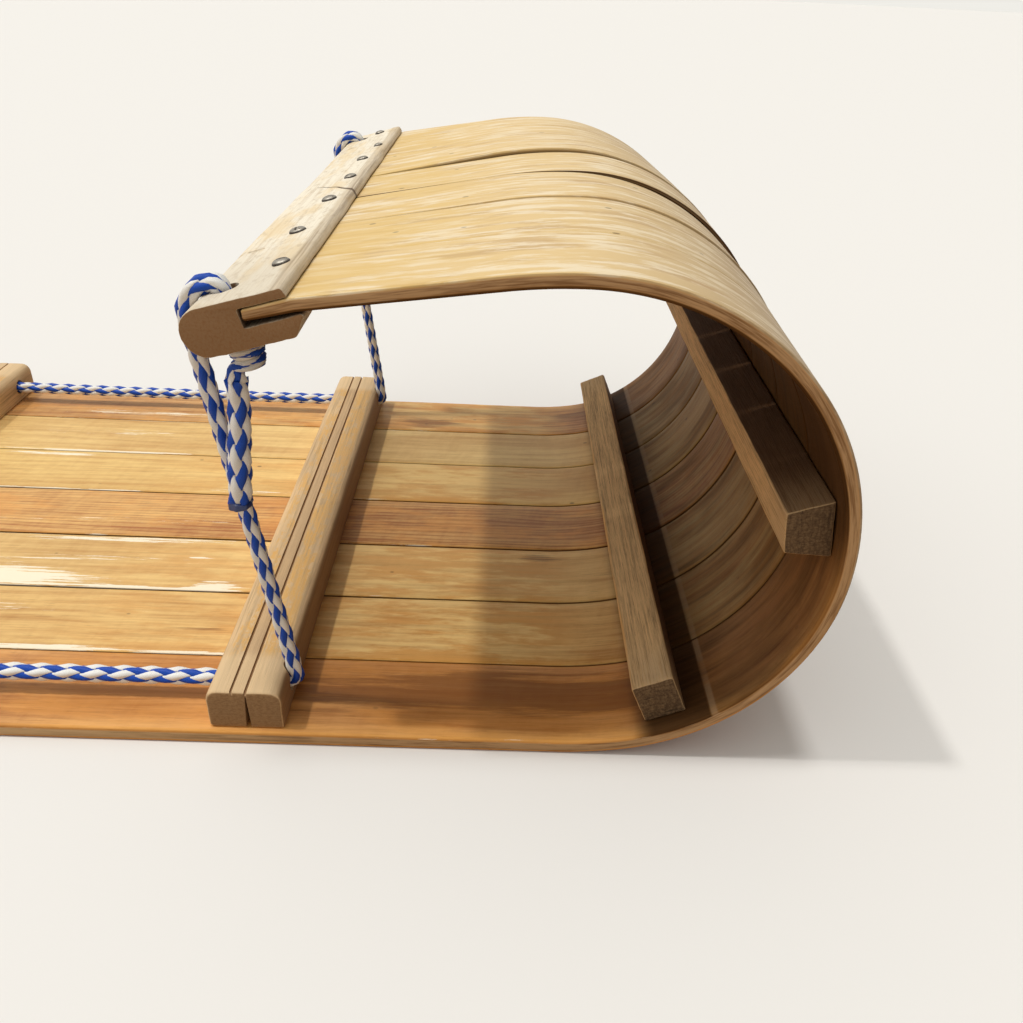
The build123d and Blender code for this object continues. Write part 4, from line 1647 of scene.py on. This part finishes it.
def melted_end(name, place, way, radius, slant=0.0):
    """The sealed, slightly flared cut end of a rope, cut at a slant."""
    around = 32
    angles = np.arange(around) * 2 * math.pi / around
    reach = radius * (1 + 0.05 * np.cos(8 * angles) + 0.04 * np.sin(3 * angles + 1))
    x, y = reach * np.cos(angles), reach * 0.9 * np.sin(angles)
    rings = [np.stack((size * x, size * y, np.full(around, up)), 1) for size, up in MELTED]
    way = Vector(way).normalized()
    turned = way.to_track_quat("Z", "Y").to_matrix().to_4x4()
    rings = moved(np.array(rings), Matrix.Translation(place) @ turned)
    rings[2:] += slant / 2 * (1 - (rings[2:, :, :1] - place[0]) / radius) * np.array(way)
    mesh = ring_mesh(name, rings, 50)
    mesh.materials.append(bpy.data.materials["Melted rope"])
    mesh.materials.append(bpy.data.materials["White strands"])
    for face in mesh.polygons:
        face.material_index = 1 if face.index >= 4 * around and face.index != 5 * around else 0
    store(mesh, "strand", coordinates(mesh))
    return new_piece(name, mesh)


# Screws


# Nose bar screws from the right side to the left: past the slat's middle, place u, size
NOSE_SCREWS = (
    (0.0125, 0.0251, 1.0),
    (0.0113, 0.0198, 1.05),
    (0.0172, 0.0233, 1.05),
    (0.0165, 0.0255, 0.95),
    (0.0188, 0.0237, 0.95),
    (0.0077, 0.0280, 0.8),
    (0.0175, 0.0200, 0.9),
)


# How deep they are sunk, and the deck's screws: off a crossbar's middle, height, size
NOSE_SUNK = 0.0001
DECK_SCREW = (0.007, 0.0010, 0.9)


# A screw head's outline from under its seat to its crown: radius, height
SCREW_HEAD = (
    (0.0, -0.0012),
    (0.0038, -0.0004),
    (0.0040, 0.0001),
    (0.0037, 0.0007),
    (0.0029, 0.0013),
    (0.0017, 0.0017),
    (0.0, 0.0018),
)


def screw_head(name):
    """A low domed and slotted screw head, its seat at Z = 0."""
    work = bmesh.new()
    around = 20
    circle = [2 * math.pi * k / around for k in range(around)]
    rings = []
    for radius, up in SCREW_HEAD:
        angles = circle if radius else [0.0]
        ring = [(radius * math.cos(angle), radius * math.sin(angle), up) for angle in angles]
        rings.append([work.verts.new(point) for point in ring])
    for low, high in zip(rings, rings[1:]):
        for k in range(around):
            n = (k + 1) % around
            if len(low) == 1:
                work.faces.new((low[0], high[n], high[k]))
            elif len(high) == 1:
                work.faces.new((low[k], low[n], high[0]))
            else:
                work.faces.new((low[k], low[n], high[n], high[k]))
    bmesh.ops.recalc_face_normals(work, faces=work.faces)
    half, floor, above = 0.0005, 0.0010, 0.003
    slot = ((-half, floor), (half, floor), (half, above), (-half, above))
    mesh = cut(name, written(work, name), [wedge("slot", slot, -0.005, 0.005)])
    store(mesh, "off_centre", coordinates(mesh) * (1, 1, 0))
    return loose_object(name, mesh)


def screw_tree():
    """Geometry Nodes that set a screw head on each point, along its normal."""
    sockets = {"Points": "Geometry", "Head": "Object", "Seed": "Int", "Material": "Material"}
    tree, nodes, given = new_tree("Screw heads", sockets, "Screws")
    out = nodes.out
    points = out("GeometryNodeMeshToPoints", {"Mesh": given["Points"]})
    head = nodes.add("GeometryNodeObjectInfo", {"Object": given["Head"]}).outputs["Geometry"]
    aim = {"Vector": nodes.named("facing", "FLOAT_VECTOR")}
    aim = out("FunctionNodeAlignRotationToVector", aim, axis="Z")
    # Input 3 is the most a head is turned, output 1 how much
    spin = nodes.add("FunctionNodeRandomValue", {"Seed": given["Seed"], 3: 3.14}, data_type="FLOAT")
    spin = {"Axis": (0, 0, 1), "Angle": spin.outputs[1]}
    spin = out("FunctionNodeAxisAngleToRotation", spin)
    both = out("FunctionNodeRotateRotation", {0: aim, 1: spin}, rotation_space="LOCAL")
    size = nodes.named("size", "FLOAT_VECTOR")
    inputs = {"Points": points, "Instance": head, "Rotation": both, "Scale": size}
    real = out("GeometryNodeRealizeInstances", {"Geometry": out("GeometryNodeInstanceOnPoints", inputs)})
    done = out("GeometryNodeSetMaterial", {"Geometry": real, "Material": given["Material"]})
    nodes.add("NodeGroupOutput", {0: done})
    return tree


def screw_steel(finishes):
    """Dull steel with rust spots, and painted shadow round the edge of the head."""
    material, nodes = new_material("Screw steel")
    spots = nodes.noise(nodes.place(), (900, 900, 900), 4.0, 0.65)
    metal = nodes.coat(finishes.steel, linear(96, 76, 58), nodes.between(spots, 0.5, 0.7))
    # A dark, less metallic ring round the head's edge is painted shadow of its seat
    off_centre = nodes.vector("LENGTH", nodes.attribute("off_centre"), output=1)
    rim = nodes.between(off_centre, 0.0034, 0.0039)
    metal = nodes.coat(metal, linear(44, 34, 26), rim)
    roughness = nodes.between(spots, 0.4, 0.7, 0.42, 0.65)
    surface(nodes, color=metal, roughness=roughness, metallic=nodes.times_plus(rim, -0.6, 0.85))
    return material


# Operators


def seen_directly(nodes):
    """Whether a ray comes from the camera, or by way of a mirror or of glass."""
    path = nodes.add("ShaderNodeLightPath").outputs
    seen = nodes.math("MAXIMUM", path["Is Camera Ray"], path["Is Glossy Ray"])
    return nodes.math("MAXIMUM", seen, path["Is Transmission Ray"])


class TOBOGGAN_OT_stage(Operator):
    """Add the camera at the reference view, the lamps and the floor"""

    bl_idname = "toboggan.stage"
    bl_label = "Add stage"

    def execute(self, context):
        stage = context.scene.toboggan_stage
        data = bpy.data.cameras.new("Camera")
        data.lens = stage.lens
        data.sensor_width = stage.sensor
        data.clip_start = 0.01
        data.clip_end = 200
        camera = loose_object("Camera", data)
        yaw, pitch, roll = stage.yaw, stage.pitch, stage.roll
        level = Vector((math.cos(yaw), -math.sin(yaw), 0))
        ahead = Vector((math.sin(yaw), math.cos(yaw), 0))
        forward = ahead * math.cos(pitch) - Vector((0, 0, math.sin(pitch)))
        down = forward.cross(level)
        right = level * math.cos(roll) + down * math.sin(roll)
        down = down * math.cos(roll) - level * math.sin(roll)
        axes = Matrix((right, -down, -forward)).transposed().to_4x4()
        camera.matrix_world = Matrix.Translation(stage.eye) @ axes
        context.scene.camera = camera
        context.scene.view_settings.view_transform = "Standard"

        # Name, strength, size in the sky and tint, then how far it tilts and to which side
        for name, energy, angle, tint, tilt, bearing in (
            ("Ceiling lamp", stage.ceiling, 8, (1.0, 0.98, 0.94), 3, -90),
            ("Side lamp", stage.side, 3, (1.0, 0.97, 0.92), 29, -90),
        ):
            lamp = bpy.data.lights.new(name, "SUN")
            lamp.energy = energy
            lamp.angle = math.radians(angle)
            lamp.color = tint
            turned = Matrix.Rotation(math.radians(bearing), 4, "Z")
            loose_object(name, lamp).matrix_world = turned @ Matrix.Rotation(math.radians(tilt), 4, "X")

        world = bpy.data.worlds.new("World")
        context.scene.world = world
        world.use_nodes = True
        nodes = NodeMaker(world.node_tree)
        # More light comes from above and behind the sled than from in front of it
        way = nodes.add("ShaderNodeTexCoord").outputs["Generated"]
        lean = nodes.vector("DOT_PRODUCT", way, (-stage.sky_behind, 0.0, stage.sky_above), output=1)
        strength = nodes.math("MAXIMUM", nodes.math("ADD", lean, stage.sky), 0.05)
        sky = nodes.out("ShaderNodeBackground", {"Color": (1.0, 0.965, 0.90, 1), "Strength": strength})
        backdrop = nodes.out("ShaderNodeBackground", {"Color": (*stage.horizon, 1), "Strength": 1.0})
        both = nodes.out("ShaderNodeMixShader", {0: seen_directly(nodes), 1: sky, 2: backdrop})
        nodes.add("ShaderNodeOutputWorld", {0: both})

        half = stage.floor_size / 2
        mesh = bpy.data.meshes.new("floor")
        corners = [(-half, -half), (half, -half), (half, half), (-half, half)]
        mesh.from_pydata([(x, y, -0.0002) for x, y in corners], [], [(0, 1, 2, 3)])
        floor = loose_object("floor", mesh)
        material, nodes = new_material("Floor")
        tone = nodes.mix(seen_directly(nodes), stage.floor_bounce, stage.floor_shown)
        surface(nodes, color=tone, roughness=0.8, specular=0.2)
        dress(floor, material)
        return {"FINISHED"}


class TOBOGGAN_OT_side_ropes(Operator):
    """Add the two braided side ropes with their knots"""

    bl_idname = "toboggan.side_ropes"
    bl_label = "Add side ropes"

    def execute(self, context):
        scene = context.scene
        rope_materials(scene.toboggan_finishes)
        for name, side in SIDES.items():
            line, girth = rope_line(side, scene)
            mesh = braided(f"side_rope_{name}_braid", line, girth, scene)
            new_piece(f"side_rope_{name}_braid", mesh, (f"side_rope_{name}",))
            way = line[0] - line[2]
            radius = 0.5 * scene.toboggan_ropes.diameter * float(girth[0])
            melted_end(f"side_rope_{name}_end", line[0], way, radius)
        return {"FINISHED"}


class TOBOGGAN_OT_rope_tails(Operator):
    """Add the free ends that hang from the knots under the nose bar"""

    bl_idname = "toboggan.rope_tails"
    bl_label = "Add rope ends"

    def execute(self, context):
        scene = context.scene
        rope = scene.toboggan_ropes
        for name, side in SIDES.items():
            points = tail_points(side)
            route = nurbs_points(points, f"rope_tail_{name}_route")
            count = round(run_length(route)[-1] / LINE_STEP)
            line = resampled(route, count)
            girth = np.linspace(rope.free_girth, rope.free_girth * 1.12, count)
            mesh = braided(f"rope_tail_{name}_braid", line, girth, scene, 0.6)
            piece = new_piece(f"rope_tail_{name}_braid", mesh, (f"rope_tail_{name}",))
            radius = 0.5 * rope.diameter * rope.free_girth * 1.1
            way = line[-1] - line[-3]
            end = melted_end(f"rope_tail_{name}_end", line[-1], way, radius, 0.0028)
            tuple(points[0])
            float(run_length(line)[-1])
        return {"FINISHED"}


class TOBOGGAN_OT_slats(Operator):
    """Add the seven bent slats"""

    bl_idname = "toboggan.slats"
    bl_label = "Add slats"

    def execute(self, context):
        for number in range(1, SLAT_COUNT + 1):
            mesh, front_at, top_at = build_slat(number, context.scene)
            piece = new_piece(f"slat_{number}_worn", mesh, (f"slat_{number}",))
            dress(piece, slat_wood(number, front_at, top_at, context.scene))
        return {"FINISHED"}


class TOBOGGAN_OT_crossbars(Operator):
    """Add the five crossbars"""

    bl_idname = "toboggan.crossbars"
    bl_label = "Add crossbars"

    def execute(self, context):
        wood = crossbar_wood(context.scene)
        for number in range(1, CROSSBAR_COUNT + 1):
            dress(build_crossbar(number, context.scene), wood)
        return {"FINISHED"}


class TOBOGGAN_OT_plain_bars(Operator):
    """Add the two plain bars inside the curl"""

    bl_idname = "toboggan.plain_bars"
    bl_label = "Add plain bars"

    def execute(self, context):
        scene = context.scene
        bars, slats = scene.toboggan_bars, scene.toboggan_slats
        finishes = scene.toboggan_finishes
        place = seat_on_curl(slats, bars.start_turn, False, bars.start_width, bars.seat)
        width, height = bars.start_width, bars.start_height
        start = build_plain_bar("curl_start_bar", place, width, width, height, 31)
        dress(start, plain_bar_wood("Start bar wood", place, finishes))
        place = seat_on_curl(slats, bars.curl_turn, True, bars.curl_width, bars.seat)
        curl = build_plain_bar("curl_bar", place, bars.curl_width, bars.curl_face, bars.curl_height, 37)
        dress(curl, plain_bar_wood("Curl bar wood", place, finishes))
        return {"FINISHED"}


class TOBOGGAN_OT_nose_bar(Operator):
    """Add the bleached nose bar"""

    bl_idname = "toboggan.nose_bar"
    bl_label = "Add nose bar"

    def execute(self, context):
        dress(build_nose_bar(context.scene), nose_wood(context.scene))
        return {"FINISHED"}


class TOBOGGAN_OT_screws(Operator):
    """Add the screw heads in the nose bar and under the deck"""

    bl_idname = "toboggan.screws"
    bl_label = "Add screws"

    def execute(self, context):
        scene = context.scene
        nose = scene.toboggan_nose
        head = screw_head("screw_head")
        steel = screw_steel(scene.toboggan_finishes)
        upward = (-math.sin(nose.tilt), 0, math.cos(nose.tilt))
        shift, height, deck_size = DECK_SCREW
        rows = {"nose_screws": [], "deck_screws": []}
        for number in range(1, SLAT_COUNT + 1):
            low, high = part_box(f"slat_{number}")
            middle = (low.y + high.y) / 2
            past, u, size = NOSE_SCREWS[number - 1]
            x, z = nose_point(nose, u, nose.round_radius - NOSE_SUNK)
            rows["nose_screws"].append(((x, middle + past, z), upward, size))
            for bar in range(1, CROSSBAR_COUNT + 1):
                bar_low, bar_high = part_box(f"crossbar_{bar}")
                way = 1 if (bar + number) % 2 else -1
                x = (bar_low.x + bar_high.x) / 2 + way * shift
                rows["deck_screws"].append(((x, middle, height), (0, 0, -1), deck_size))
        tree = screw_tree()
        for name, screws in rows.items():
            mesh = bpy.data.meshes.new(name)
            mesh.from_pydata([place for place, _, _ in screws], [], [])
            store(mesh, "facing", [facing for _, facing, _ in screws])
            store(mesh, "size", [(size, size, size) for _, _, size in screws])
            made = run_tree(name, mesh, tree, {"Head": head, "Seed": 5, "Material": steel})
            smooth(made, 35)
            new_piece(name, made)
        bpy.data.objects.remove(head)
        return {"FINISHED"}


class TOBOGGAN_PT_panel(Panel):
    """Lists the builders in order"""

    bl_label = "Toboggan"
    bl_idname = "TOBOGGAN_PT_panel"
    bl_space_type = "VIEW_3D"
    bl_region_type = "UI"
    bl_category = "Toboggan"

    def draw(self, context):
        for operator in OPERATORS:
            self.layout.operator(operator.bl_idname)


GROUPS = {
    "toboggan_slats": SlatSizes,
    "toboggan_bars": BarSizes,
    "toboggan_nose": NoseSizes,
    "toboggan_ropes": RopeSizes,
    "toboggan_finishes": Finishes,
    "toboggan_stage": StageSizes,
}
OPERATORS = (
    TOBOGGAN_OT_stage,
    TOBOGGAN_OT_side_ropes,
    TOBOGGAN_OT_rope_tails,
    TOBOGGAN_OT_slats,
    TOBOGGAN_OT_crossbars,
    TOBOGGAN_OT_plain_bars,
    TOBOGGAN_OT_nose_bar,
    TOBOGGAN_OT_screws,
)


def register():
    for group in GROUPS.values():
        bpy.utils.register_class(group)
    for name, group in GROUPS.items():
        setattr(bpy.types.Scene, name, PointerProperty(type=group))
    for operator in (*OPERATORS, TOBOGGAN_PT_panel):
        bpy.utils.register_class(operator)


def unregister():
    for operator in (TOBOGGAN_PT_panel, *reversed(OPERATORS)):
        bpy.utils.unregister_class(operator)
    for name in GROUPS:
        delattr(bpy.types.Scene, name)
    for group in reversed(GROUPS.values()):
        bpy.utils.unregister_class(group)


def main():
    """Builds the whole sled."""
    register()
    bpy.ops.toboggan.stage()
    bpy.ops.toboggan.side_ropes()
    bpy.ops.toboggan.rope_tails()
    bpy.ops.toboggan.slats()
    bpy.ops.toboggan.crossbars()
    bpy.ops.toboggan.plain_bars()
    bpy.ops.toboggan.nose_bar()
    bpy.ops.toboggan.screws()


if __name__ == "__main__":
    main()
